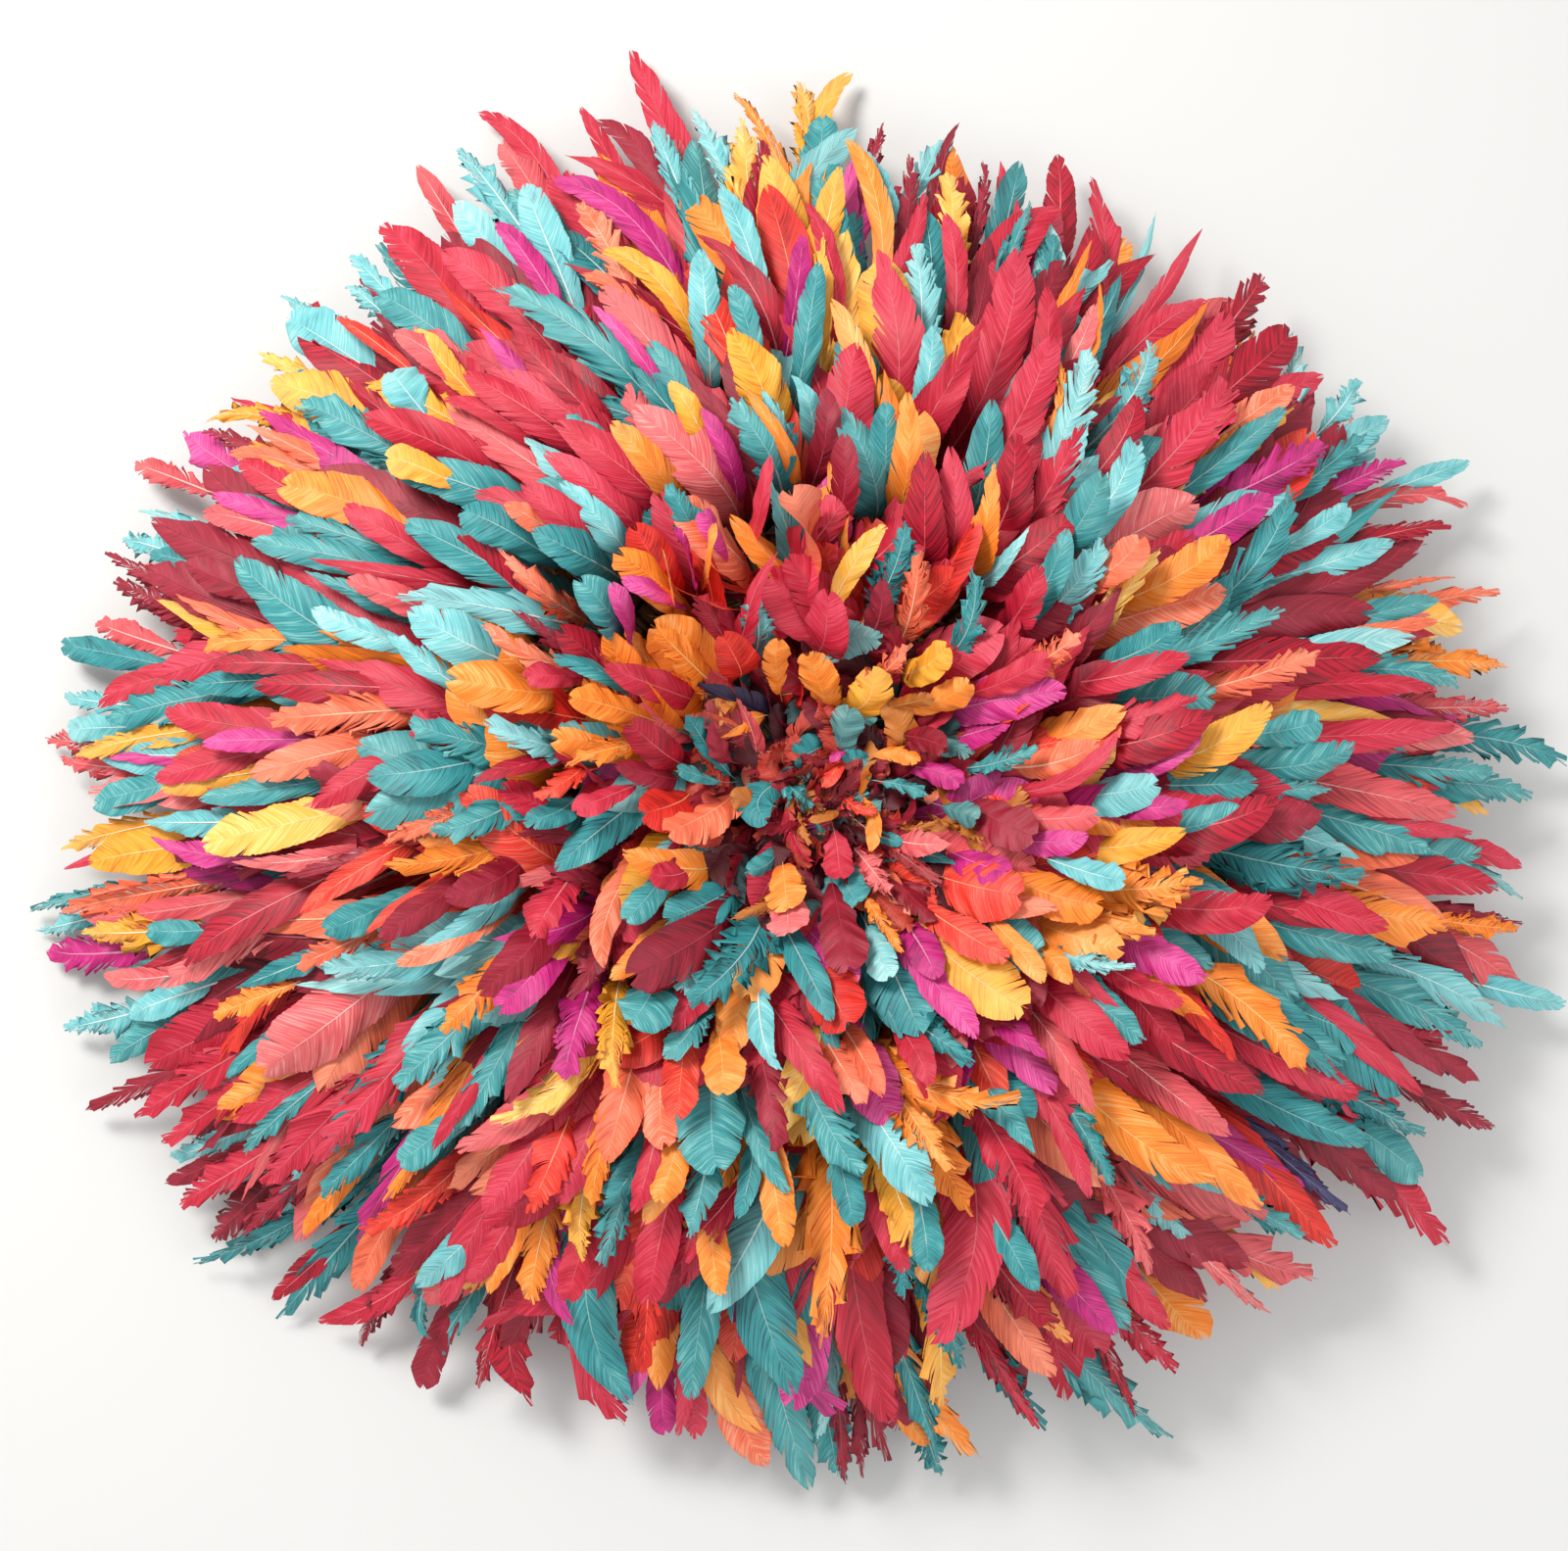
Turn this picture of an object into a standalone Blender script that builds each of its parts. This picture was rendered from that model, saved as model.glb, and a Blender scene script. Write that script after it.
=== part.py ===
"""An open feather juju hat that lies on its raffia base with the feathers up.

A raffia cap for the head stands in the middle of a flat raffia ring.  The feathers
are bound in rows, each on a band of its own.  The outer rows are seated on the ring
and the inner ones on the cap, and every row arches up and outwards over the next.

Metres, +Z up.  The origin is on the floor, under the middle of the outline, and the
hat's front is at -Y.
"""

import math
import random
from typing import NamedTuple

import bmesh
import bpy
import numpy as np
from mathutils import Vector

OBJECT_NAME = "juju_hat"
SEED = 7
GAP = 0.0003

# Raffia cap and ring, whose sides face each other
CAP_RADIUS = 0.092
CAP_HEIGHT = 0.092
CAP_SQUARENESS = 2.4
RAFFIA_SIDES = 28
CAP_STEPS = 7
RAFFIA_WALL = 0.003
RING_RADIUS = 0.212
RING_THICKNESS = 0.004

# Feather mound
HAT_RADIUS = 0.380
LEAN_X = 0.025
LEAN_Y = -0.037
LEAN_FROM = 0.020
LEAN_TO = 0.150

# Bands and feathers
BAND_DEPTH = 0.008
BAND_HEIGHT = 0.010
LAYER_DROP = 0.002
LONG_STEP = 0.13
SHORT_STEP = 0.36
RIDGE_SHARE = 0.30
LENGTH_JITTER = 0.03
DRIFT_JITTER = 0.16
ROLL_JITTER = math.radians(3)
ROUGHNESS = 0.62


class Height(NamedTuple):
    """The mound's top at a distance from its middle."""

    radius: float
    height: float


class Bearing(NamedTuple):
    """How far the outline reaches at a bearing, and how high its tips stand there."""

    degrees: float
    reach: float
    rise: float


class Section(NamedTuple):
    """A feather's cross-section, as shares of its length and of its full width."""

    along: float
    width: float
    thickness: float


class Row(NamedTuple):
    """A row of feathers: two layers on one band."""

    name: str
    seat: str
    seat_radius: float
    tip_radius: float
    lift: float
    count: int
    fill: float
    color: tuple


MOUND = (
    Height(0.000, 0.116),
    Height(0.040, 0.124),
    Height(0.080, 0.145),
    Height(0.120, 0.158),
    Height(0.160, 0.155),
    Height(0.210, 0.138),
    Height(0.260, 0.110),
    Height(0.310, 0.076),
    Height(0.350, 0.044),
    Height(0.380, 0.016),
    Height(0.400, 0.010),
)

OUTLINE = (
    Bearing(0, 0.380, 0.016),
    Bearing(30, 0.372, 0.012),
    Bearing(60, 0.350, 0.008),
    Bearing(90, 0.364, 0.000),
    Bearing(120, 0.368, 0.000),
    Bearing(150, 0.368, 0.000),
    Bearing(180, 0.378, 0.000),
    Bearing(210, 0.388, 0.000),
    Bearing(240, 0.362, 0.000),
    Bearing(270, 0.364, 0.006),
    Bearing(300, 0.384, 0.012),
    Bearing(330, 0.396, 0.018),
)

LONG_FEATHER = (
    Section(0.12, 0.24, 0.0040),
    Section(0.45, 0.80, 0.0046),
    Section(0.80, 1.00, 0.0040),
    Section(1.00, 0.26, 0.0016),
)

SHORT_FEATHER = (
    Section(0.20, 0.40, 0.0024),
    Section(0.70, 1.00, 0.0026),
    Section(1.00, 0.34, 0.0014),
)

CRIMSON = (0.54, 0.03, 0.07)
SCARLET = (0.78, 0.10, 0.05)
ORANGE = (0.88, 0.27, 0.03)
GOLD = (0.95, 0.55, 0.05)
TEAL = (0.04, 0.33, 0.35)
MAGENTA = (0.55, 0.02, 0.22)
RAFFIA = (0.47, 0.33, 0.17)

ROWS = (
    Row("feather_row_1", "ring", 0.199, 0.380, 8, 27, 0.82, CRIMSON),
    Row("feather_row_2", "ring", 0.173, 0.340, 30, 23, 0.80, TEAL),
    Row("feather_row_3", "ring", 0.152, 0.298, 41, 20, 0.78, SCARLET),
    Row("feather_row_4", "ring", 0.133, 0.256, 53, 17, 0.76, GOLD),
    Row("feather_row_5", "ring", 0.117, 0.214, 63, 14, 0.74, CRIMSON),
    Row("feather_row_6", "ring", 0.103, 0.172, 72, 11, 0.72, MAGENTA),
    Row("feather_row_7", "cap", 0.062, 0.124, 58, 10, 0.56, ORANGE),
    Row("feather_row_8", "cap", 0.036, 0.076, 70, 8, 0.48, TEAL),
    Row("centre_tuft", "cap", 0.014, 0.032, 80, 5, 0.40, CRIMSON),
)


def smooth(share):
    """Eases a share of the way from 0 to 1."""
    share = min(max(share, 0.0), 1.0)
    return share * share * (3 - 2 * share)


def mound_height(radius):
    """The mound's top at a distance from its middle."""
    return float(np.interp(radius, [h.radius for h in MOUND], [h.height for h in MOUND]))


def outline_at(bearing):
    """The outline's reach and rise at a bearing in radians, eased between the rows."""
    step = 360 / len(OUTLINE)
    place = math.degrees(bearing) % 360 / step
    low = OUTLINE[int(place) % len(OUTLINE)]
    high = OUTLINE[(int(place) + 1) % len(OUTLINE)]
    share = smooth(place % 1)
    reach = low.reach + share * (high.reach - low.reach)
    return reach, low.rise + share * (high.rise - low.rise)


def settled(radius, bearing, height):
    """Carries a point of a round, upright mound to its place in the lopsided one."""
    reach, rise = outline_at(bearing)
    share = smooth((radius - RING_RADIUS) / (HAT_RADIUS - RING_RADIUS))
    lean = smooth((height - LEAN_FROM) / (LEAN_TO - LEAN_FROM))
    radius *= 1 + share * (reach / HAT_RADIUS - 1)
    x = radius * math.cos(bearing) + lean * LEAN_X
    y = radius * math.sin(bearing) + lean * LEAN_Y
    return Vector((x, y, height + share * rise))


def cap_height(radius):
    """The height of the cap's outside at a radius."""
    share = min(abs(radius) / CAP_RADIUS, 1.0)
    return CAP_HEIGHT * (1 - share**CAP_SQUARENESS) ** (1 / CAP_SQUARENESS)


def make_collection(name):
    """A collection linked to the scene."""
    collection = bpy.data.collections.new(name)
    bpy.context.scene.collection.children.link(collection)
    return collection


def make_material(name, color):
    """A plain dyed or woven finish."""
    material = bpy.data.materials.new(name)
    material.use_nodes = True
    shader = material.node_tree.nodes["Principled BSDF"]
    shader.inputs["Base Color"].default_value = (*color, 1.0)
    shader.inputs["Roughness"].default_value = ROUGHNESS
    shader.inputs["Metallic"].default_value = 0.0
    return material


def make_object(name, shape, color, collection):
    """Turns a bmesh into a named object with its own material."""
    bmesh.ops.recalc_face_normals(shape, faces=shape.faces)
    mesh = bpy.data.meshes.new(name)
    shape.to_mesh(mesh)
    shape.free()
    mesh.materials.append(make_material(name + "_finish", color))
    piece = bpy.data.objects.new(name, mesh)
    collection.objects.link(piece)
    return piece


def turned(profile, sides):
    """A closed ring of profile points, each (radius, height), turned about the axis."""
    shape = bmesh.new()
    loops = []
    for side in range(sides):
        bearing = math.tau * side / sides
        loops.append([shape.verts.new(settled(r, bearing, z)) for r, z in profile])
    for side in range(sides):
        near, far = loops[side], loops[(side + 1) % sides]
        for k in range(len(profile)):
            after = (k + 1) % len(profile)
            shape.faces.new((near[k], far[k], far[after], near[after]))
    return shape


def make_raffia_ring(collection):
    """The flat woven ring round the cap, which the whole hat rests on."""
    inner = CAP_RADIUS + GAP
    lower = ((inner, 0.0), (RING_RADIUS, 0.0))
    upper = ((RING_RADIUS, RING_THICKNESS), (inner, RING_THICKNESS))
    return make_object("raffia_ring", turned(lower + upper, RAFFIA_SIDES), RAFFIA, collection)


def make_head_cap(collection):
    """The hollow dome for the head, open below, with a flat rim on the floor."""
    shape = bmesh.new()
    outer = dome_points(shape, 0.0)
    inner = dome_points(shape, RAFFIA_WALL)
    for dome in (outer, inner):
        for low, high in zip(dome, dome[1:-1]):
            for side in range(RAFFIA_SIDES):
                after = (side + 1) % RAFFIA_SIDES
                shape.faces.new((low[side], low[after], high[after], high[side]))
        for side in range(RAFFIA_SIDES):
            shape.faces.new((dome[-2][side], dome[-2][(side + 1) % RAFFIA_SIDES], dome[-1][0]))
    for side in range(RAFFIA_SIDES):
        after = (side + 1) % RAFFIA_SIDES
        shape.faces.new((outer[0][side], outer[0][after], inner[0][after], inner[0][side]))
    return make_object("head_cap", shape, RAFFIA, collection)


def dome_points(shape, wall):
    """Loops of vertices up a dome, ending in the single one at its top."""
    loops = []
    for step in range(CAP_STEPS):
        angle = math.pi / 2 * step / CAP_STEPS
        radius = (CAP_RADIUS - wall) * math.cos(angle) ** (2 / CAP_SQUARENESS)
        height = (CAP_HEIGHT - wall) * math.sin(angle) ** (2 / CAP_SQUARENESS)
        bearings = [math.tau * side / RAFFIA_SIDES for side in range(RAFFIA_SIDES)]
        loops.append([shape.verts.new(settled(radius, b, height)) for b in bearings])
    loops.append([shape.verts.new(settled(0.0, 0.0, CAP_HEIGHT - wall))])
    return loops


def seat_top(row, radius):
    """The top of what a row's band stands on, at a radius."""
    return RING_THICKNESS if row.seat == "ring" else cap_height(radius)


def band_section(along, across):
    """A band's corners round the feathers' root: low, middle and high front, then back."""
    half = across * BAND_HEIGHT / 2
    back = along * BAND_DEPTH
    return np.array([-half, (0, 0), half, half - back, -half - back])


def row_root(row):
    """Where a row's feathers leave their band, and the directions along and across them."""
    lift = math.radians(row.lift)
    along = np.array([math.cos(lift), math.sin(lift)])
    across = np.array([-along[1], along[0]])
    section = band_section(along, across)
    flat = math.cos(math.pi / (2 * row.count))
    height = max(seat_top(row, (row.seat_radius + r) * flat) - z for r, z in section)
    return np.array([row.seat_radius, height + GAP]), along, across


def feather_path(row, layer, length):
    """Control points of a feather's arch in radius and height; layer 0 is the upper one."""
    root, along, across = row_root(row)
    start = root + across * BAND_HEIGHT / 4 * (1 - 2 * layer)
    step = LONG_STEP if row.seat == "ring" else SHORT_STEP
    reach = (row.tip_radius - row.seat_radius) * (1 - step * (1 - layer))
    tip_radius = row.seat_radius + reach * length
    tip = np.array([tip_radius, mound_height(tip_radius) - layer * LAYER_DROP])
    handle = 0.5 * np.linalg.norm(tip - start)
    return start, start + along * handle, tip


def arch_point(path, share):
    """A point on the arch and the direction along it."""
    start, middle, end = path
    point = (1 - share) ** 2 * start + 2 * share * (1 - share) * middle + share**2 * end
    slope = (1 - share) * (middle - start) + share * (end - middle)
    return point, slope / np.linalg.norm(slope)


def draw_feather(shape, face, row, layer, bearing, luck):
    """Draws a feather out of a face of its band, section by section."""
    sections = LONG_FEATHER if row.seat == "ring" else SHORT_FEATHER
    path = feather_path(row, layer, 1 + LENGTH_JITTER * luck.uniform(-1, 1))
    pitch = math.tau / row.count
    drift = pitch * DRIFT_JITTER * luck.uniform(-1, 1)
    roll = ROLL_JITTER * luck.uniform(-1, 1)
    for section in sections:
        (radius, height), slope = arch_point(path, section.along)
        turn = bearing + drift * section.along**2
        half = 0.5 * row.fill * pitch * radius * section.width
        up = np.array([-slope[1], slope[0]])
        face = bmesh.ops.extrude_discrete_faces(shape, faces=[face])["faces"][0]
        corners = (
            (-half, -section.thickness / 2),
            (half, -section.thickness / 2),
            (half * RIDGE_SHARE, section.thickness / 2),
            (-half * RIDGE_SHARE, section.thickness / 2),
        )
        for loop, (side, above) in zip(face.loops, corners):
            out, top = np.array([radius, height]) + up * (above + side * math.sin(roll))
            loop.vert.co = settled(out, turn + side / radius, top)


def make_row(row, collection, luck):
    """A band of bound quills with a feather drawn out of each of its outer faces."""
    root, along, across = row_root(row)
    profile = root + band_section(along, across)
    columns = 2 * row.count
    shape = turned(profile, columns)
    shape.faces.ensure_lookup_table()
    fronts = [shape.faces[column * len(profile) + 1 - column % 2] for column in range(columns)]
    for column, face in enumerate(fronts):
        bearing = math.tau * (column + 0.5) / columns
        draw_feather(shape, face, row, column % 2, bearing, luck)
    return make_object(row.name, shape, row.color, collection)


def main():
    """Clears the scene and builds the hat from its base up."""
    for leftover in list(bpy.data.objects):
        bpy.data.objects.remove(leftover, do_unlink=True)
    collection = make_collection(OBJECT_NAME)
    luck = random.Random(SEED)
    make_head_cap(collection)
    make_raffia_ring(collection)
    for row in ROWS:
        make_row(row, collection, luck)


main()
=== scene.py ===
"""Dresses the feather juju hat.

Every feather is a mesh of barbs on a tapered shaft.  The vane splits into locks as
real vanes do, and the feathers of a row grow from the row's band, arch over the mound
and end at its surface.  Some are placed one by one, by the pixel of the photograph
where their tips show, and the rest fall at random between them and under them.
"""

import math
from functools import partial
from typing import NamedTuple

import bpy
import numpy as np
from mathutils import Matrix, Vector


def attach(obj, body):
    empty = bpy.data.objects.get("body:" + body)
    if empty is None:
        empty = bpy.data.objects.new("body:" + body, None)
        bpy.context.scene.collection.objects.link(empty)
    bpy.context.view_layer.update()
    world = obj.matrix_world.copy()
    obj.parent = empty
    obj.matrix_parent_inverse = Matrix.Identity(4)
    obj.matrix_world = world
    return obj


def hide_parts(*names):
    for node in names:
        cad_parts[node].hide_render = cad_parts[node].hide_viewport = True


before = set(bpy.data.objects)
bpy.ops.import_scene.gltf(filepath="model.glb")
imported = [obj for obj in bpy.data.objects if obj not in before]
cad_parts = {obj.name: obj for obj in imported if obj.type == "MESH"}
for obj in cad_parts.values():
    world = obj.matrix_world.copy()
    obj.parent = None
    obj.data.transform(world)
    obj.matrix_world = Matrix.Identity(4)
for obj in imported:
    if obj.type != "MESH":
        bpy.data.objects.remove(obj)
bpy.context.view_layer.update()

SEED = 11

# Camera, in the photograph's frame of 1600 by 1583 pixels
PHOTO_MIDDLE = (800.0, 791.5)
PHOTO_WIDTH = 1600
ELEVATION = math.radians(82)
DISTANCE = 1.25
AIM = np.array([0.0, -0.016, 0.05])
VIEW_WIDTH = 0.784
SENSOR = 36.0

# Mound, as in the solids
HAT_RADIUS = 0.380
RING_RADIUS = 0.212
LEAN = np.array([0.025, -0.037])
LEAN_FROM = 0.020
LEAN_TO = 0.150
FLOOR_CLEARANCE = 0.0015
MOUND_RADII = (0.0, 0.040, 0.080, 0.120, 0.160, 0.210, 0.260, 0.310, 0.350, 0.380, 0.400)
MOUND_HEIGHTS = (0.116, 0.124, 0.145, 0.158, 0.155, 0.138, 0.110, 0.076, 0.044, 0.016, 0.010)

# How far the outline reaches and how high its tips stand, 30 degrees on at each number
REACHES = np.array([
    0.380, 0.372, 0.350, 0.364, 0.368, 0.368, 0.378, 0.388, 0.362, 0.364, 0.384, 0.396])
RISES = np.array([0.016, 0.012, 0.008, 0, 0, 0, 0, 0, 0, 0.006, 0.012, 0.018])

# Rounds of the searches back to the upright mound, and the height where a ray's starts
LEAN_ROUNDS = 4
REACH_ROUNDS = 6
RAY_ROUNDS = 14
RAY_START = 0.1

# Bands and cap, as in the solids
RING_THICKNESS = 0.004
CAP_RADIUS = 0.092
CAP_HEIGHT = 0.092
CAP_SQUARENESS = 2.4
CAP_CLEAR = 1.018
CAP_CORE = 0.05
CAP_ROUNDS = 3
BAND_DEPTH = 0.008
BAND_HEIGHT = 0.010
BAND_SIDES = 60
COIL_PITCH = 0.0055
COIL_STITCHES = 90
BINDING_TURNS = 3

# Arches: where the shoulder lies between the part in sight and the band, how it bends,
# and where the neck lies and sags on the part in sight
CURVE_STEPS = 40
ROOT_SPREAD = 0.03
SHOULDER = 0.4
SHOULDER_BEND = 0.5
NECK = 0.45
NECK_SAG = 0.08
TWIST_FROM = 0.8

# Barbs to a side of the vane by its length, and steps along a barb
BARBS = ((0.090, 84), (0.055, 62), (0.0, 42))
FILL_BARBS = 30
STEPS = np.array([0.0, 0.36, 0.70, 1.0])
MERGE = 1e-6
KEY_BITS = 21

# Outline of a vane: where the barbs' ends lie, their roughness, and ripples along it
VANE_START = 0.02
VANE_END = 0.94
VANE_MOST = 0.97
EDGE_START = 0.01
EDGE_SPAN = 0.985
EDGE_CURVE = 0.68
ROUGH_RANGE = (-2, 1.2)
FRAY_ROOT = 1.2
FRAY_FADE = 0.6
SIDE_SPREAD = 0.1
PACE_RANGE = (0.8, 1.3)
RIPPLES = (11.0, 23.0)
RIPPLE_SHARE = 0.7
RIPPLE_FADE = 0.5
RIPPLE_HEIGHT = 1.2

# Locks: how often barbs part where the vane is closed and open, how deep, how each lock
# shifts, shrinks and lifts, and how its barbs draw together
OPEN_WAVES = 9.0
OPEN_MIDDLE = 0.5
OPEN_SWING = 0.8
CUTS_CLOSED = 0.35
CUTS_OPEN = 1.3
CLOSED_DEPTH = 0.5
START_SPREAD = 0.12
START_RANGE = (0.02, 0.85)
LOCK_SHIFT = (0.006, 0.022)
LOCK_SHRINK = (-0.26, 0.05)
LOCK_LIFT = 0.16
LOOSE_CURVE = 1.3
SWEEP_CURVE = 1.25
CAMBER_CURVE = 1.7
PINCH = 0.8
POINTED = 0.50

# Shaft: its thickness at the tip and at the root, and its section beside and above the vane
SHAFT_RUNS = 14
SHAFT_END = 0.99
SHAFT_THIN = 0.00010
SHAFT_ROOT = 0.00020
SHAFT_PER_WIDTH = 0.031
SHAFT_TAPER = 0.8
SHAFT_SECTION = np.array([(-1.0, 0.1), (0.0, 0.9), (1.0, 0.1)])
SHAFT_BAND = 0.035

# Spacing of the tips that lie on top, sideways and lengthwise, and how they keep clear of
# the part in sight of charted ones
SPACING = (0.0125, 0.072)
TIP_TRIES = 9000
RIM_CLEAR = 0.94
SEEN_SHARE = 0.55
SEEN_SPOTS = 6
CLEAR_SHARE = 0.45
OVERLAP = 1.12
BOW = 1.9
HIDDEN_VANE = 1.7
CHARTED_SINK = 0.5

# Levels that keep feathers clear of those they overlap
LEVELS = np.array([0.0002, 0.0024, 0.0046, 0.0068])
FREE_LEVELS = np.array([0.0030, 0.0052, 0.0074, 0.0096])
LEVEL_GAP = 0.0024
LEVEL_SLOPE = 0.18
LEVEL_SPOTS = np.linspace(0.0, 1.0, 6)
LEVEL_OVERLAP = 0.42

# Feathers underneath
FILL_SPLIT = 2.2
SPLIT_MOST = 0.9
FILL_VANE = 1.3
FILL_INSIDE = 0.02
FILL_INNER = 0.004
FILL_DEPTHS = (0.6, 1.5)
GOLDEN_SHARE = 0.618034
BEARING_SPREAD = 0.03

# How much feathers differ
BEND_SPREAD = 0.08
FREE_BEND_SPREAD = 0.10
KIND_SPREAD = (0.92, 1.08)
CAMBER_SPREAD = (-0.2, 1.4)
SHAFT_SPREAD = (0.6, 1.3)

# The middle of the hat, whose feathers are ragged and tumbled, and darkened with painted shade
# where they lie deep
MIDDLE = 3
TUMBLE = 2.3
UNDER_SHARE = 0.6
UNDER_DEPTH = 1.1
MIDDLE_DEPTH = 0.65
# Painted shade on deep-lying feathers: its most, how much less each next variant takes, the dyes of
# the deep ones, and the dark tone it mixes in
PAINTED_SHADE_MOST = 0.84
PAINTED_SHADE_STEP = 0.42
UNDER_DYES = ("crimson", "burgundy", "teal")
PAINTED_SHADE_TONE = (24, 8, 12)

# Bunches of one dye
PATCHES = 220
PATCH_SHARE = 0.30

# Sheet of dye samples that the feathers share: one cell for each dye and variant.  The
# first variant, with the most painted shade, is for the middle's deep feathers, the next,
# with half as much painted shade, for its others there, the next two also for its top
# ones, and the rest for the whole hat
SHEET_COLUMNS = 16
SHEET_ROWS = 5
VARIANTS = 7
FULL_SHADE_VARIANT = 0
HALF_SHADE_VARIANT = 1
OPEN_VARIANT = 2
TUFT_VARIANT_END = 4
CELL_EDGE = 0.04
BAND_SPOTS = np.array([(0.25, 0.2), (0.75, 0.2), (0.75, 0.8), (0.25, 0.8)])


class Row(NamedTuple):
    """A row of feathers on one band: its seat, where its tips end and how deep it arches."""

    node: str
    slot: str
    seat: float
    lift: float
    tip_from: float
    tip_to: float
    sink: float
    vane: float
    width: float
    fill: int
    fill_depth: float
    zone: int


class Kind(NamedTuple):
    """A shape of vane, as shares of its own length and width."""

    belly: float
    rise: float
    taper: float
    blunt: float
    camber: float
    split: float
    depth: float
    gap: float
    fray: float
    slack: float
    wave: float
    shaft: float
    wide: float


class Spread(NamedTuple):
    """How feathers differ: turn outside and in the middle, length, width, roll and twist."""

    turn: float
    middle_turn: float
    vane: tuple
    width: tuple
    roll: float
    twist: float


class Wave(NamedTuple):
    """A wave over the mound in the feathers' turn, in radians."""

    size: float
    across: float
    along: float
    phase: float


class Placed(NamedTuple):
    """A charted feather: its tip in the photograph, where it comes into sight, width and bow."""

    dye: str
    kind: str
    tip_x: int
    tip_y: int
    from_x: int
    from_y: int
    wide: int
    bow: float = 0.0


class Dye(NamedTuple):
    """A dye's colours as sRGB bytes, and its share of the rim, flank, crown and tuft."""

    deep: tuple
    body: tuple
    pale: tuple
    shaft: tuple
    shares: tuple


class Grain(NamedTuple):
    """Noise on a feather: its scale across and along, its detail, and a shift of its own."""

    across: float
    along: float
    detail: float
    shift: float


class Lamp(NamedTuple):
    """A soft square light."""

    name: str
    place: tuple
    size: float
    power: float
    color: tuple


ROWS = (
    Row("feather_row_1", "feathers_1", 0.199, 8, 0.345, 0.500, 0.045, 0.125, 0.029, 96, 0.010, 0),
    Row("feather_row_2", "feathers_2", 0.173, 30, 0.308, 0.345, 0.030, 0.120, 0.029, 90, 0.016, 0),
    Row("feather_row_3", "feathers_3", 0.152, 41, 0.270, 0.308, 0.020, 0.115, 0.029, 75, 0.018, 1),
    Row("feather_row_4", "feathers_4", 0.133, 53, 0.228, 0.270, 0.014, 0.105, 0.028, 65, 0.018, 1),
    Row("feather_row_5", "feathers_5", 0.117, 63, 0.185, 0.228, 0.010, 0.095, 0.027, 60, 0.018, 1),
    Row("feather_row_6", "feathers_6", 0.103, 72, 0.138, 0.185, 0.008, 0.085, 0.028, 80, 0.018, 2),
    Row("feather_row_7", "feathers_7", 0.062, 58, 0.085, 0.138, 0.006, 0.066, 0.026, 110, 0.020, 2),
    Row("feather_row_8", "feathers_8", 0.036, 70, 0.046, 0.085, 0.004, 0.040, 0.018, 130, 0.018, 3),
    Row("centre_tuft", "tuft_feathers", 0.014, 80, 0.0, 0.046, 0.003, 0.030, 0.016, 130, 0.016, 3),
)
CAP_ROWS = ("feather_row_7", "feather_row_8", "centre_tuft")

KINDS = {
    "long": Kind(0.56, 0.40, 2.3, 0.68, 0.18, 0.060, 0.50, 0.008, 0.022, 0.24, 0.06, 0.8, 1.0),
    "lance": Kind(0.40, 0.50, 1.3, 0.95, 0.20, 0.070, 0.42, 0.012, 0.026, 0.32, 0.07, 0.8, 0.64),
    "round": Kind(0.66, 0.48, 2.6, 0.52, 0.26, 0.045, 0.55, 0.008, 0.020, 0.22, 0.06, 0.4, 1.0),
    "split": Kind(0.54, 0.44, 2.2, 0.68, 0.15, 0.150, 0.30, 0.034, 0.040, 0.70, 0.09, 0.9, 1.0),
    "frayed": Kind(0.46, 0.50, 1.8, 0.74, 0.11, 0.400, 0.14, 0.070, 0.090, 1.10, 0.12, 0.8, 0.9),
    "chip": Kind(0.64, 0.46, 2.3, 0.58, 0.42, 0.080, 0.45, 0.020, 0.035, 0.45, 0.10, 0.3, 1.0),
}

# What the feathers of the middle have of each measure of their kind
RAGGED = Kind(1.0, 1.0, 1.0, 1.0, 1.5, 1.3, 0.85, 1.3, 1.3, 1.3, 1.4, 0.4, 1.0)

KIND_SHARES = {
    0: {"long": 0.44, "lance": 0.26, "round": 0.05, "split": 0.17, "frayed": 0.08},
    1: {"long": 0.48, "lance": 0.24, "round": 0.10, "split": 0.13, "frayed": 0.05},
    2: {"long": 0.42, "lance": 0.14, "round": 0.34, "split": 0.08, "frayed": 0.02},
    MIDDLE: {"chip": 0.62, "lance": 0.12, "round": 0.10, "split": 0.06, "frayed": 0.10},
}

TOP_SPREAD = Spread(0.16, 0.7, (0.72, 1.25), (0.60, 1.05), math.radians(10), math.radians(16))
FILL_SPREAD = Spread(0.2, 0.9, (0.7, 1.2), (0.7, 1.2), math.radians(16), math.radians(20))
FLOW = (Wave(0.16, 5.1, 3.3, 1.0), Wave(0.13, -4.9, 7.7, 2.2))

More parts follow.
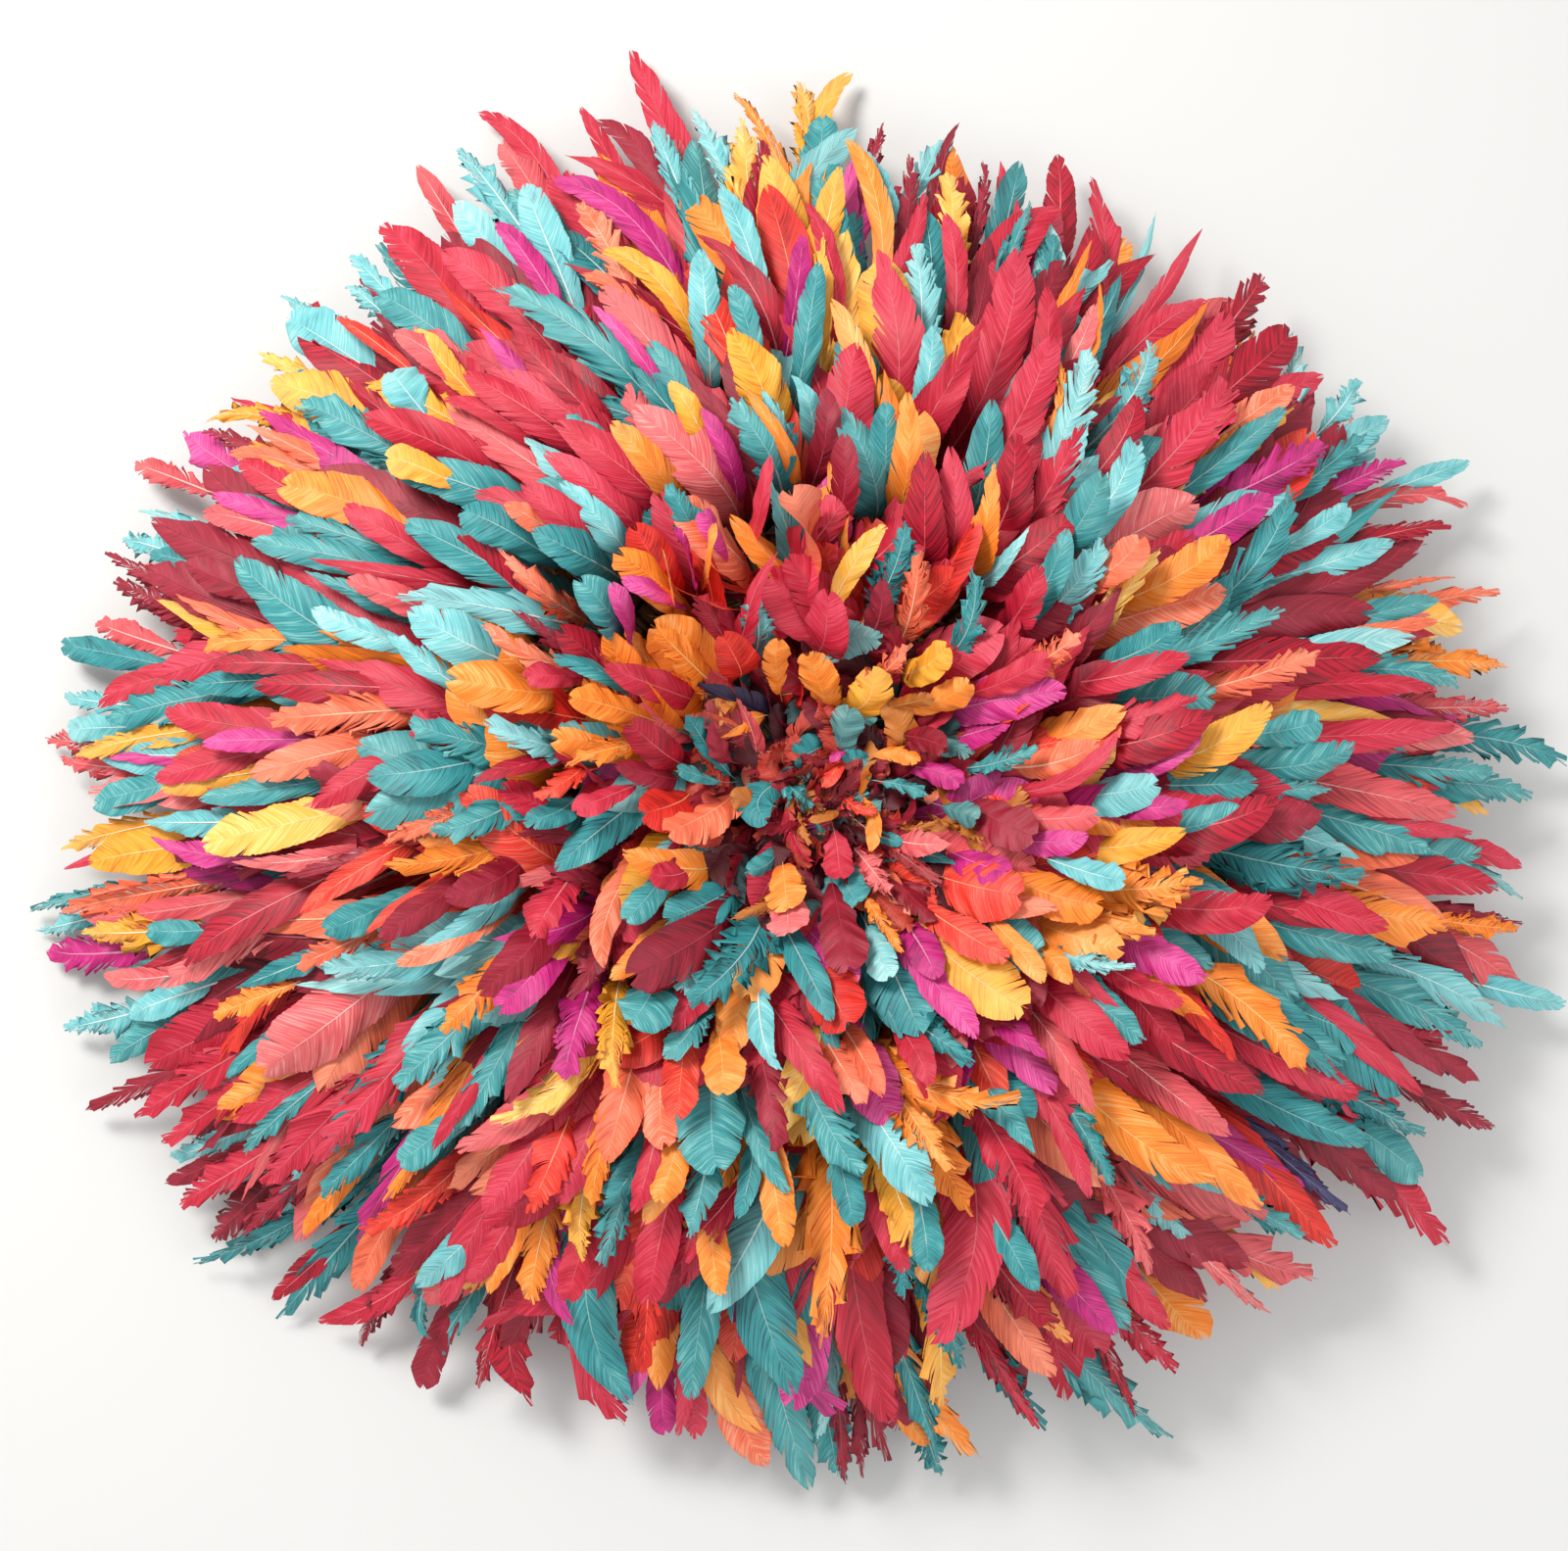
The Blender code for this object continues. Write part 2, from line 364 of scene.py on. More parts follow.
# By dye and kind: tip x and y, x and y where it comes into sight, width, and bow if any
PLACED = {
    "crimson": {
        "long": (
            (642, 48, 738, 195, 34), (592, 108, 665, 195, 20), (485, 115, 550, 175, 26, -0.12),
            (388, 228, 470, 340, 48), (450, 255, 548, 302, 40), (520, 335, 642, 412, 30),
            (470, 378, 605, 425, 34), (1078, 155, 1112, 257, 34), (1085, 210, 1015, 302, 46, 0.12),
            (1068, 290, 1102, 402, 28), (945, 195, 880, 322, 22), (963, 215, 1017, 292, 22),
            (822, 205, 878, 302, 24), (1040, 250, 1020, 402, 50), (1075, 340, 1040, 452, 40),
            (367, 425, 522, 466, 46), (245, 468, 312, 492, 30), (350, 515, 427, 562, 30),
            (100, 725, 192, 668, 30, -0.1), (215, 680, 292, 650, 24), (165, 725, 292, 747, 42),
            (255, 700, 432, 706, 34), (156, 800, 232, 745, 30), (316, 830, 393, 740, 34),
            (450, 408, 562, 421, 24), (500, 380, 642, 432, 36), (530, 490, 632, 562, 34),
            (552, 460, 682, 562, 40), (565, 430, 702, 502, 38), (787, 462, 775, 562, 20),
            (615, 680, 702, 706, 30), (480, 800, 592, 785, 20), (945, 455, 967, 622, 38),
            (970, 450, 986, 622, 36), (1062, 575, 1040, 662, 32), (1035, 440, 1045, 560, 46),
            (1160, 400, 1150, 482, 30), (1217, 667, 1085, 707, 34), (1140, 745, 1070, 832, 16),
            (1238, 727, 1120, 777, 40), (1470, 705, 1328, 715, 26), (1490, 740, 1343, 746, 34),
            (63, 888, 185, 820, 14), (185, 985, 302, 899, 40), (440, 1175, 502, 1063, 18),
            (645, 1240, 669, 1158, 22), (490, 1240, 557, 1168, 40), (570, 1235, 586, 1148, 36),
            (862, 1140, 788, 982, 34), (950, 1110, 913, 1053, 30), (1155, 1080, 1073, 1008, 36),
            (1112, 1225, 1105, 1138, 20), (1210, 1025, 1138, 1004, 28), (1305, 815, 1185, 875, 50),
            (1505, 850, 1398, 835, 18), (1555, 885, 1498, 849, 28), (1535, 907, 1388, 905, 44),
            (1420, 947, 1328, 889, 40), (1300, 915, 1188, 936, 40), (1410, 946, 1253, 943, 30),
            (1456, 1122, 1323, 998, 26), (1292, 1116, 1173, 1049, 40), (1388, 1121, 1283, 1099, 36),
            (276, 1328, 325, 1278, 24), (322, 1347, 415, 1312, 26, 0.12),
            (452, 1340, 535, 1185, 38), (478, 1312, 512, 1280, 24), (690, 1468, 668, 1370, 20),
            (925, 1300, 888, 1235, 26), (912, 1458, 888, 1245, 52, -0.07),
            (945, 1372, 992, 1160, 60, 0.11), (1196, 1358, 1150, 1315, 26),
        ),
        "lance": (
            (708, 238, 812, 330, 38), (1228, 232, 1170, 352, 34), (895, 252, 945, 402, 62),
            (1005, 325, 963, 432, 40), (312, 570, 482, 568, 24), (795, 562, 742, 642, 24),
        ),
        "round": (
            (1322, 337, 1240, 402, 46), (533, 693, 592, 695, 26), (640, 735, 702, 792, 34),
            (845, 600, 850, 692, 44), (1072, 668, 1010, 702, 26), (585, 830, 622, 795, 24),
            (662, 890, 702, 906, 26), (858, 898, 862, 862, 30), (965, 765, 939, 741, 26),
            (580, 1330, 575, 1290, 30), (662, 1335, 688, 1245, 36), (714, 1470, 698, 1425, 26),
        ),
        "split": (
            (1112, 175, 1165, 350, 34), (1290, 280, 1250, 362, 50), (1262, 385, 1160, 545, 64),
            (1105, 430, 1045, 562, 44), (1225, 705, 1090, 747, 36), (1483, 535, 1378, 540, 24),
            (138, 1143, 237, 1069, 40), (162, 1170, 247, 1098, 34), (265, 1215, 332, 1108, 46),
            (320, 1190, 417, 1058, 44), (545, 960, 592, 898, 44),
            (1092, 1345, 1030, 1120, 66, 0.03), (1060, 1250, 1008, 1163, 50),
            (835, 882, 803, 843, 26), (1480, 1275, 1345, 1160, 50, 0.04),
            (183, 1232, 262, 1192, 34), (546, 1435, 498, 1330, 44, -0.1),
            (640, 1458, 555, 1305, 56, -0.12), (1085, 1362, 1000, 1325, 42),
        ),
        "frayed": (
            (490, 1418, 485, 1330, 40), (1062, 1457, 985, 1400, 34), (1202, 1398, 1140, 1345, 44),
            (1160, 1447, 1118, 1360, 26),
        ),
    },
    "burgundy": {
        "long": (
            (605, 122, 700, 202, 30, -0.12), (152, 530, 307, 597, 44), (150, 580, 257, 627, 44),
            (188, 573, 252, 612, 30), (625, 778, 702, 806, 26), (842, 393, 840, 472, 26),
            (862, 440, 874, 527, 30), (900, 590, 905, 652, 26), (1450, 562, 1308, 642, 40),
            (452, 918, 522, 883, 34), (385, 960, 457, 908, 30), (485, 1015, 557, 928, 40),
            (515, 1130, 577, 998, 30), (395, 1305, 520, 1163, 56), (1352, 830, 1276, 856, 34),
            (1475, 1100, 1388, 1023, 28), (1430, 1225, 1355, 1150, 34), (165, 1207, 240, 1195, 22),
        ),
        "lance": (
            (980, 124, 973, 188, 20),
        ),
        "round": (
            (640, 1000, 762, 958, 50), (1058, 855, 998, 833, 44), (868, 992, 857, 920, 44),
            (432, 1420, 425, 1355, 30),
        ),
        "split": (
            (85, 1135, 202, 1079, 26), (795, 1180, 775, 1083, 34), (1513, 1106, 1443, 1074, 30),
            (1527, 1152, 1443, 1119, 30), (215, 1268, 262, 1210, 42),
        ),
        "frayed": (
            (903, 125, 905, 188, 26), (1003, 163, 1008, 227, 18), (205, 440, 272, 457, 26),
            (108, 562, 152, 602, 20), (113, 590, 212, 652, 44), (1558, 942, 1498, 924, 20),
            (240, 1270, 305, 1205, 30), (366, 1374, 395, 1310, 34), (905, 1492, 848, 1370, 42),
            (862, 1515, 852, 1455, 22), (880, 1510, 868, 1455, 22),
        ),
    },
    "scarlet": {
        "long": (
            (342, 323, 407, 352, 16), (305, 935, 387, 853, 26), (372, 955, 442, 888, 16),
            (1030, 980, 953, 947, 34), (1262, 1085, 1193, 973, 24), (1365, 1275, 1278, 1138, 42),
        ),
        "round": (
            (735, 645, 772, 702, 36), (652, 830, 732, 815, 50), (690, 1145, 695, 1058, 34),
            (1045, 915, 963, 905, 50), (868, 1048, 834, 983, 46), (840, 805, 863, 781, 20),
            (815, 775, 799, 754, 16),
        ),
        "split": (
            (540, 815, 622, 774, 32), (366, 1256, 455, 1205, 32, 0.08), (540, 1240, 570, 1170, 40),
            (658, 1410, 660, 1310, 28),
        ),
        "frayed": (
            (895, 828, 861, 814, 20),
        ),
    },
    "coral": {
        "long": (
            (1322, 392, 1265, 437, 34), (232, 463, 342, 460, 20), (252, 795, 388, 735, 40),
            (513, 512, 562, 527, 22), (1122, 755, 1065, 787, 30), (1470, 635, 1400, 648, 16),
            (618, 990, 613, 880, 24, -0.08), (402, 985, 492, 950, 28), (620, 1190, 650, 1083, 40),
            (1082, 925, 958, 937, 30), (902, 1120, 871, 1048, 26),
            (786, 1500, 722, 1425, 50, -0.06), (1078, 1408, 998, 1345, 42),
        ),
        "lance": (
            (250, 433, 327, 462, 20),
        ),
        "round": (
            (803, 497, 840, 602, 62), (1165, 545, 1135, 602, 36), (678, 850, 742, 812, 44),
            (680, 1175, 650, 1093, 36), (365, 1325, 388, 1252, 28),
        ),
        "split": (
            (590, 205, 648, 268, 36), (592, 280, 702, 285, 24), (272, 738, 407, 711, 40),
            (490, 635, 602, 682, 28), (1533, 603, 1400, 622, 28), (1350, 665, 1268, 722, 34),
            (300, 990, 352, 948, 26), (885, 1130, 841, 1053, 36),
        ),
        "frayed": (
            (510, 560, 592, 622, 34), (938, 560, 940, 652, 36), (1105, 645, 1065, 682, 38),
            (930, 655, 885, 692, 30), (1485, 590, 1400, 612, 14), (60, 932, 195, 905, 44),
            (392, 862, 458, 822, 30),
        ),
    },
    "orange": {
        "long": (
            (862, 140, 895, 264, 24, -0.12), (850, 305, 928, 427, 26), (622, 430, 702, 482, 28),
            (760, 398, 852, 462, 14), (730, 530, 736, 612, 22), (926, 398, 937, 547, 32),
            (1255, 545, 1185, 602, 40), (955, 712, 918, 704, 20), (633, 868, 742, 890, 34),
            (620, 1000, 682, 948, 24), (1065, 1005, 1040, 953, 22), (1095, 1005, 1065, 953, 22),
            (1245, 1050, 1158, 963, 22), (1245, 1205, 1113, 1093, 46), (1290, 1235, 1178, 1108, 40),
            (888, 870, 918, 834, 18), (310, 1263, 308, 1205, 22), (500, 1325, 520, 1278, 24),
            (657, 1252, 690, 1195, 24), (742, 1327, 705, 1285, 26), (803, 1275, 792, 1200, 32),
            (780, 1468, 718, 1392, 34, -0.05), (950, 1480, 912, 1440, 26),
            (1100, 1380, 1008, 1298, 32),
        ),
        "lance": (
            (1115, 243, 1103, 320, 18), (1122, 285, 1145, 390, 20), (675, 558, 702, 642, 22),
            (1015, 470, 1020, 592, 44),
        ),
        "round": (
            (283, 497, 412, 506, 46), (797, 650, 790, 692, 26), (453, 690, 592, 717, 46),
            (578, 712, 642, 731, 34), (822, 665, 850, 732, 36), (992, 695, 945, 714, 26),
            (905, 716, 925, 777, 30), (805, 930, 800, 890, 38), (745, 815, 777, 836, 22),
            (738, 1120, 735, 1063, 38), (672, 1230, 691, 1173, 28), (1130, 920, 1033, 893, 46),
            (1152, 968, 1043, 950, 44), (825, 838, 858, 834, 12), (940, 780, 924, 749, 18),
        ),
        "split": (
            (205, 672, 277, 627, 26), (668, 640, 717, 697, 40), (215, 1040, 264, 1014, 26),
            (390, 885, 542, 868, 34), (450, 1055, 502, 988, 44), (392, 1228, 500, 1048, 32),
            (605, 1240, 616, 1133, 34), (1336, 1101, 1260, 998, 46), (545, 1340, 515, 1275, 34),
            (1006, 1492, 903, 1280, 42, -0.08),
        ),
        "frayed": (
            (748, 95, 840, 160, 24), (1078, 360, 1083, 452, 20), (575, 780, 647, 754, 28),
            (1540, 682, 1452, 655, 40), (1185, 945, 1060, 925, 44), (1230, 895, 1118, 925, 54),
            (922, 975, 884, 938, 18), (1042, 1118, 885, 1137, 44), (975, 1195, 913, 1143, 40),
            (835, 1377, 848, 1175, 66, 0.03), (830, 862, 811, 841, 14), (958, 838, 924, 859, 14),
            (1553, 946, 1510, 957, 30),
        ),
    },
    "gold": {
        "long": (
            (612, 258, 715, 275, 26, -0.08), (425, 335, 476, 386, 26), (742, 335, 815, 425, 48),
            (682, 388, 732, 420, 24), (858, 168, 800, 262, 30), (272, 392, 388, 377, 54),
            (163, 812, 262, 780, 30), (905, 537, 852, 590, 24, 0.08), (1300, 715, 1200, 814, 40),
            (205, 862, 320, 832, 50), (88, 882, 200, 860, 44), (1215, 845, 1083, 883, 30),
        ),
        "round": (
            (872, 70, 822, 165, 22, 0.06), (392, 468, 442, 454, 34), (887, 680, 862, 737, 36),
            (968, 657, 925, 702, 32), (1052, 1030, 955, 987, 52),
        ),
        "split": (
            (375, 390, 482, 400, 40), (968, 175, 1003, 257, 40), (840, 232, 852, 402, 26),
            (75, 775, 182, 729, 28), (1330, 412, 1168, 567, 36), (1190, 555, 1115, 682, 28),
            (60, 868, 148, 833, 30, -0.1), (944, 1290, 895, 1190, 54),
        ),
        "frayed": (
            (760, 118, 787, 264, 64), (815, 80, 832, 170, 44), (262, 360, 332, 377, 28),
            (208, 432, 292, 400, 28, -0.1), (78, 950, 184, 975, 44),
            (500, 1148, 605, 1015, 46, 0.2), (632, 1112, 605, 1018, 40), (600, 1292, 562, 1220, 46),
        ),
    },
    "teal": {
        "long": (
            (745, 290, 780, 345, 22), (382, 300, 476, 346, 44), (838, 180, 882, 270, 34),
            (1043, 162, 1015, 282, 38), (945, 210, 985, 312, 34), (838, 265, 828, 366, 28),
            (253, 552, 402, 560, 34), (150, 565, 217, 573, 22), (238, 568, 358, 688, 50),
            (190, 705, 302, 672, 30), (200, 820, 332, 795, 26), (392, 480, 537, 502, 46, -0.06),
            (540, 540, 632, 576, 36), (560, 668, 692, 747, 26), (368, 835, 547, 765, 60),
            (372, 792, 482, 755, 46), (855, 410, 912, 545, 46, -0.06), (905, 405, 925, 502, 36),
            (1090, 535, 1068, 642, 34), (1205, 632, 1160, 674, 32), (1315, 415, 1238, 497, 28),
            (1475, 612, 1378, 642, 28), (1385, 760, 1283, 792, 40), (110, 1085, 197, 1024, 34),
            (230, 1102, 282, 1038, 18), (563, 888, 650, 797, 38), (533, 838, 592, 820, 28),
            (808, 1222, 754, 1098, 24), (618, 1235, 657, 1173, 24), (850, 1043, 799, 958, 26),
            (1172, 1065, 1088, 993, 40), (1432, 985, 1288, 964, 46), (1383, 1092, 1233, 948, 50),
            (1400, 1165, 1298, 1144, 36), (1260, 1215, 1168, 1194, 18),
            (650, 1438, 635, 1240, 56, -0.13), (706, 1432, 712, 1340, 34),
            (812, 1428, 732, 1200, 62, -0.12), (828, 1522, 760, 1390, 44),
            (752, 1248, 785, 1180, 24), (945, 1300, 958, 1250, 32), (1060, 1320, 1025, 1272, 28),
            (1163, 1364, 1100, 1228, 52, -0.1), (1195, 1348, 1120, 1215, 38, -0.05),
        ),
        "lance": (
            (310, 585, 397, 627, 24), (240, 1015, 302, 984, 24), (1058, 1180, 1018, 1138, 28),
        ),
        "round": (
            (60, 658, 127, 683, 28), (92, 822, 167, 789, 38), (468, 520, 542, 541, 36),
            (588, 588, 652, 662, 42), (690, 785, 712, 814, 18), (1127, 480, 1108, 562, 38),
            (868, 720, 865, 762, 32), (862, 773, 905, 775, 18), (1350, 735, 1318, 767, 30),
            (148, 950, 204, 958, 26), (328, 950, 382, 917, 28), (635, 940, 664, 888, 26),
            (675, 940, 772, 908, 40), (762, 890, 802, 877, 22), (785, 837, 750, 800, 34),
            (640, 1045, 674, 1001, 54), (405, 1188, 457, 1169, 34), (735, 1200, 730, 1108, 56),
            (997, 838, 968, 828, 22), (880, 925, 860, 888, 36), (1272, 825, 1188, 872, 32),
            (925, 862, 899, 872, 12), (812, 780, 851, 747, 34), (1440, 1120, 1348, 1028, 50),
            (1453, 1206, 1398, 1163, 40), (874, 1253, 862, 1195, 26),
        ),
        "split": (
            (502, 292, 690, 415, 50), (1082, 235, 1098, 317, 34), (300, 408, 422, 470, 46),
            (288, 528, 422, 562, 26), (105, 738, 217, 681, 42), (575, 420, 634, 452, 22),
            (742, 405, 822, 482, 44), (678, 490, 722, 557, 34), (412, 735, 512, 772, 40),
            (1395, 440, 1325, 507, 30), (1318, 495, 1273, 642, 44), (1310, 620, 1203, 702, 34),
            (1490, 700, 1398, 680, 32), (1600, 780, 1488, 740, 44), (1530, 790, 1443, 775, 34),
            (1565, 812, 1473, 805, 36), (1365, 810, 1293, 805, 20), (250, 1180, 272, 1120, 22),
            (325, 1225, 387, 1163, 26), (402, 1114, 478, 1035, 44), (432, 850, 532, 814, 40),
            (673, 1080, 732, 1028, 34), (465, 1165, 532, 1033, 38), (885, 1205, 806, 1098, 44),
            (948, 812, 914, 802, 18), (1480, 880, 1353, 824, 44), (1375, 1108, 1253, 984, 36),
            (1517, 1072, 1393, 1019, 44), (282, 1348, 372, 1240, 46), (430, 1404, 462, 1345, 26),
            (703, 1266, 725, 1195, 36), (856, 1512, 808, 1430, 50),
        ),
        "frayed": (
            (1052, 205, 1018, 272, 24), (925, 530, 905, 602, 40), (992, 575, 1015, 662, 28),
            (1062, 763, 1003, 792, 30), (28, 930, 90, 905, 22), (700, 1027, 787, 963, 60),
            (995, 1085, 898, 1008, 44), (1140, 1215, 1119, 1148, 30), (833, 825, 790, 805, 28),
            (1398, 892, 1275, 866, 60), (1457, 1160, 1383, 1118, 36),
            (195, 1290, 345, 1235, 34, 0.08), (440, 1368, 425, 1312, 30, -0.15),
            (615, 1298, 642, 1190, 44), (958, 1490, 908, 1380, 42), (962, 1508, 935, 1475, 34),
            (925, 1332, 955, 1275, 42), (1196, 1470, 1022, 1375, 62, -0.03),
            (1072, 1462, 1010, 1385, 34), (985, 1400, 948, 1350, 42), (1338, 1262, 1262, 1245, 34),
        ),
    },
    "aqua": {
        "long": (
            (462, 205, 522, 262, 36), (535, 185, 592, 272, 40), (733, 190, 787, 267, 26),
            (718, 252, 738, 345, 32), (955, 330, 960, 402, 26), (318, 620, 382, 656, 26),
            (570, 488, 657, 580, 30, -0.06), (415, 620, 517, 682, 44), (1165, 440, 1138, 547, 36),
            (1420, 425, 1350, 452, 32), (1502, 472, 1445, 480, 22), (1425, 550, 1328, 571, 30),
            (1455, 655, 1298, 717, 36, 0.06), (130, 1038, 178, 1013, 28),
            (950, 1232, 866, 1136, 50), (1600, 1025, 1526, 1031, 26), (422, 1314, 482, 1260, 30),
            (1275, 1225, 1205, 1195, 28),
        ),
        "lance": (
            (887, 152, 936, 207, 28), (1182, 210, 1172, 332, 20), (805, 382, 852, 412, 24),
            (1052, 535, 1020, 592, 22), (145, 840, 222, 843, 30), (800, 1092, 750, 1053, 26),
            (415, 975, 497, 908, 26),
        ),
        "round": (
            (400, 378, 412, 414, 44), (290, 322, 377, 357, 54), (65, 745, 112, 735, 26),
            (1187, 798, 1100, 827, 36), (1378, 515, 1343, 547, 24), (1150, 900, 1098, 890, 28),
            (910, 1000, 899, 953, 28),
        ),
        "split": (
            (665, 122, 732, 215, 30), (968, 137, 918, 184, 30), (935, 245, 975, 347, 40),
            (357, 257, 397, 302, 22), (60, 708, 107, 731, 22), (403, 608, 617, 647, 44),
            (395, 645, 462, 732, 26, -0.05), (493, 735, 597, 766, 36), (1115, 350, 1115, 482, 44),
            (1130, 545, 1083, 652, 44), (326, 986, 440, 1010, 36), (168, 1182, 237, 1164, 26),
            (1537, 1052, 1433, 994, 38),
        ),
        "frayed": (
            (468, 150, 535, 215, 44), (705, 110, 760, 168, 28), (1178, 348, 1165, 427, 44),
            (1318, 335, 1348, 445, 40, -0.1), (1388, 382, 1402, 428, 32), (283, 297, 347, 312, 26),
            (352, 290, 402, 312, 24), (120, 548, 162, 562, 34), (138, 520, 207, 530, 18),
            (775, 395, 822, 442, 22), (768, 600, 778, 668, 40), (32, 950, 75, 940, 26),
            (65, 1050, 125, 1045, 40), (1160, 985, 1083, 985, 22), (1557, 918, 1473, 859, 28),
        ),
    },
    "magenta": {
        "long": (
            (560, 188, 700, 232, 34, -0.15), (505, 225, 562, 290, 26), (603, 312, 682, 372, 16),
            (820, 238, 790, 302, 22), (262, 417, 427, 502, 22), (215, 505, 302, 522, 20),
            (205, 760, 277, 745, 24), (715, 412, 772, 472, 20), (688, 535, 714, 607, 24),
            (630, 588, 722, 622, 28), (623, 592, 667, 662, 34), (1092, 702, 972, 737, 42, 0.1),
            (1228, 745, 1160, 797, 26), (1305, 505, 1253, 557, 34), (1112, 850, 1056, 870, 24),
            (1215, 818, 1148, 833, 22), (958, 1000, 929, 950, 34), (1000, 1060, 928, 998, 30),
            (1235, 1000, 1153, 953, 36), (847, 778, 866, 757, 14),
            (592, 1362, 530, 1258, 24, -0.13), (1142, 1365, 1055, 1320, 34),
        ),
        "lance": (
            (490, 335, 542, 378, 22), (98, 772, 167, 764, 16), (152, 852, 210, 902, 24),
            (1072, 1082, 1001, 1043, 36),
        ),
        "round": (
            (715, 515, 762, 562, 36), (985, 803, 935, 793, 24), (505, 1032, 560, 948, 42),
            (1033, 890, 975, 878, 32), (875, 1005, 818, 956, 36), (682, 1468, 655, 1430, 28),
        ),
        "split": (
            (182, 440, 227, 522, 46), (1355, 452, 1288, 507, 42), (1432, 468, 1358, 502, 34),
            (42, 968, 102, 1000, 44), (362, 1272, 442, 1108, 32), (575, 1110, 587, 1006, 44),
            (868, 1452, 765, 1230, 58, -0.09),
        ),
    },
    "rose": {
        "long": (
            (425, 167, 455, 245, 24), (612, 292, 752, 402, 46), (400, 338, 470, 357, 28),
            (645, 412, 778, 490, 50), (1122, 310, 1108, 366, 20), (205, 525, 302, 533, 34),
            (352, 590, 442, 616, 26), (1515, 757, 1403, 766, 34), (1492, 832, 1338, 790, 42),
            (82, 938, 217, 935, 28), (103, 995, 172, 1000, 24), (465, 1180, 622, 1094, 36),
            (1118, 1140, 1043, 998, 30), (1262, 1165, 1163, 1088, 34), (1560, 1015, 1428, 943, 56),
        ),
        "lance": (
            (235, 883, 340, 880, 22), (972, 862, 933, 880, 30),
        ),
        "round": (
            (508, 138, 562, 200, 34), (262, 1100, 374, 998, 60), (805, 955, 805, 915, 40),
            (1125, 828, 1040, 846, 28),
        ),
        "split": (
            (135, 473, 182, 480, 28), (93, 632, 140, 662, 32), (1502, 520, 1383, 525, 26, 0.1),
            (162, 1015, 302, 930, 44), (1312, 1243, 1135, 1190, 72, -0.05),
            (1352, 1308, 1170, 1245, 64, -0.08),
        ),
        "frayed": (
            (42, 752, 102, 771, 38), (57, 772, 122, 791, 30), (1540, 725, 1468, 705, 34),
            (912, 915, 880, 868, 34), (965, 905, 905, 863, 30), (1298, 1342, 1215, 1285, 24),
            (1175, 1300, 1150, 1230, 38),
        ),
    },
    "navy": {
        "frayed": (
            (1385, 1245, 1304, 1168, 26),
        ),
    },
}
CHARTED = [Placed(dye, kind, *row)
           for dye, kinds in PLACED.items() for kind, rows in kinds.items() for row in rows]

DYES = {
    "crimson": Dye((106, 3, 27), (191, 18, 47), (220, 72, 95), (238, 140, 144), (28, 31, 28, 34)),
    "burgundy": Dye((60, 2, 18), (148, 14, 38), (176, 52, 75), (182, 82, 96), (14, 13, 10, 26)),
    "scarlet": Dye((146, 10, 10), (230, 42, 30), (248, 116, 90), (252, 178, 136), (8, 9, 14, 8)),
    "coral": Dye((178, 52, 34), (246, 110, 72), (252, 176, 146), (255, 208, 174), (5, 6, 8, 4)),
    "orange": Dye((198, 72, 10), (252, 138, 38), (255, 192, 116), (255, 216, 140), (9, 9, 13, 12)),
    "gold": Dye((214, 112, 16), (252, 174, 48), (255, 214, 130), (255, 240, 190), (6, 4, 4, 1)),
    "teal": Dye((8, 64, 76), (46, 144, 148), (144, 206, 202), (218, 240, 236), (15, 14, 10, 11)),
    "aqua": Dye((44, 126, 136), (112, 194, 198), (198, 234, 230), (238, 250, 246), (6, 5, 3, 1)),
    "magenta": Dye((104, 4, 60), (200, 22, 120), (234, 104, 170), (240, 160, 196), (4, 4, 4, 2)),
    "rose": Dye((154, 28, 44), (224, 78, 86), (244, 154, 148), (252, 208, 200), (3, 3, 3, 1)),
    "navy": Dye((20, 16, 40), (58, 52, 92), (92, 86, 128), (140, 136, 170), (1, 0, 1, 1)),
}
DYE_NAMES = list(DYES)
BINDING = "raffia_binding"

# Grain of a vane, and how it and the feather's variant make up its tone
STREAK = Grain(2.0, 125.0, 3.0, 0.0)
FINE = Grain(5.0, 240.0, 1.0, 3.1)
MOTTLE = Grain(2.4, 5.5, 3.0, 6.3)
CRACK = Grain(1.3, 70.0, 1.0, 9.4)
CELL_SEED = 7.31
STREAK_RANGE = (0.32, 0.68)
STREAK_SHARE = 0.56
MOTTLE_SHARE = 0.96
VARIANT_SHARE = 0.45

# Where a vane goes from deep to body colour, and on to pale, which is partly bleached dye and
# partly painted sheen highlight, and more so at a worn tip
BODY_RANGE = (0.36, 0.96)
PALE_RANGE = (1.00, 1.42)
PALE_SHARE = 0.7
WORN_RANGE = (0.45, 1.0)
WORN_SHARE = 0.6
WORN_SEED = 7.7

# Deep colour at the vane's edges, at its root, partly its own colour and partly painted shade of
# the feathers over it, and in its cracks
EDGE_RANGE = (0.38, 0.50)
EDGE_SHADE = 0.22
ROOT_RANGE = (0.20, 0.02)
ROOT_SHADE = 0.6
CRACK_RANGE = (0.62, 0.74)
CRACK_SPREAD = (0.02, 0.30)
CRACK_SHADE = 0.45

# Shaft: how its colour fades to the vane's by the variant and to the tip, and its edges
PLAIN_SEED = 5.3
PLAIN_SHARE = 0.58
PLAIN_RANGE = (0.55, 1.0)
SHAFT_RANGE = (SHAFT_BAND * 1.25, SHAFT_BAND * 0.85)

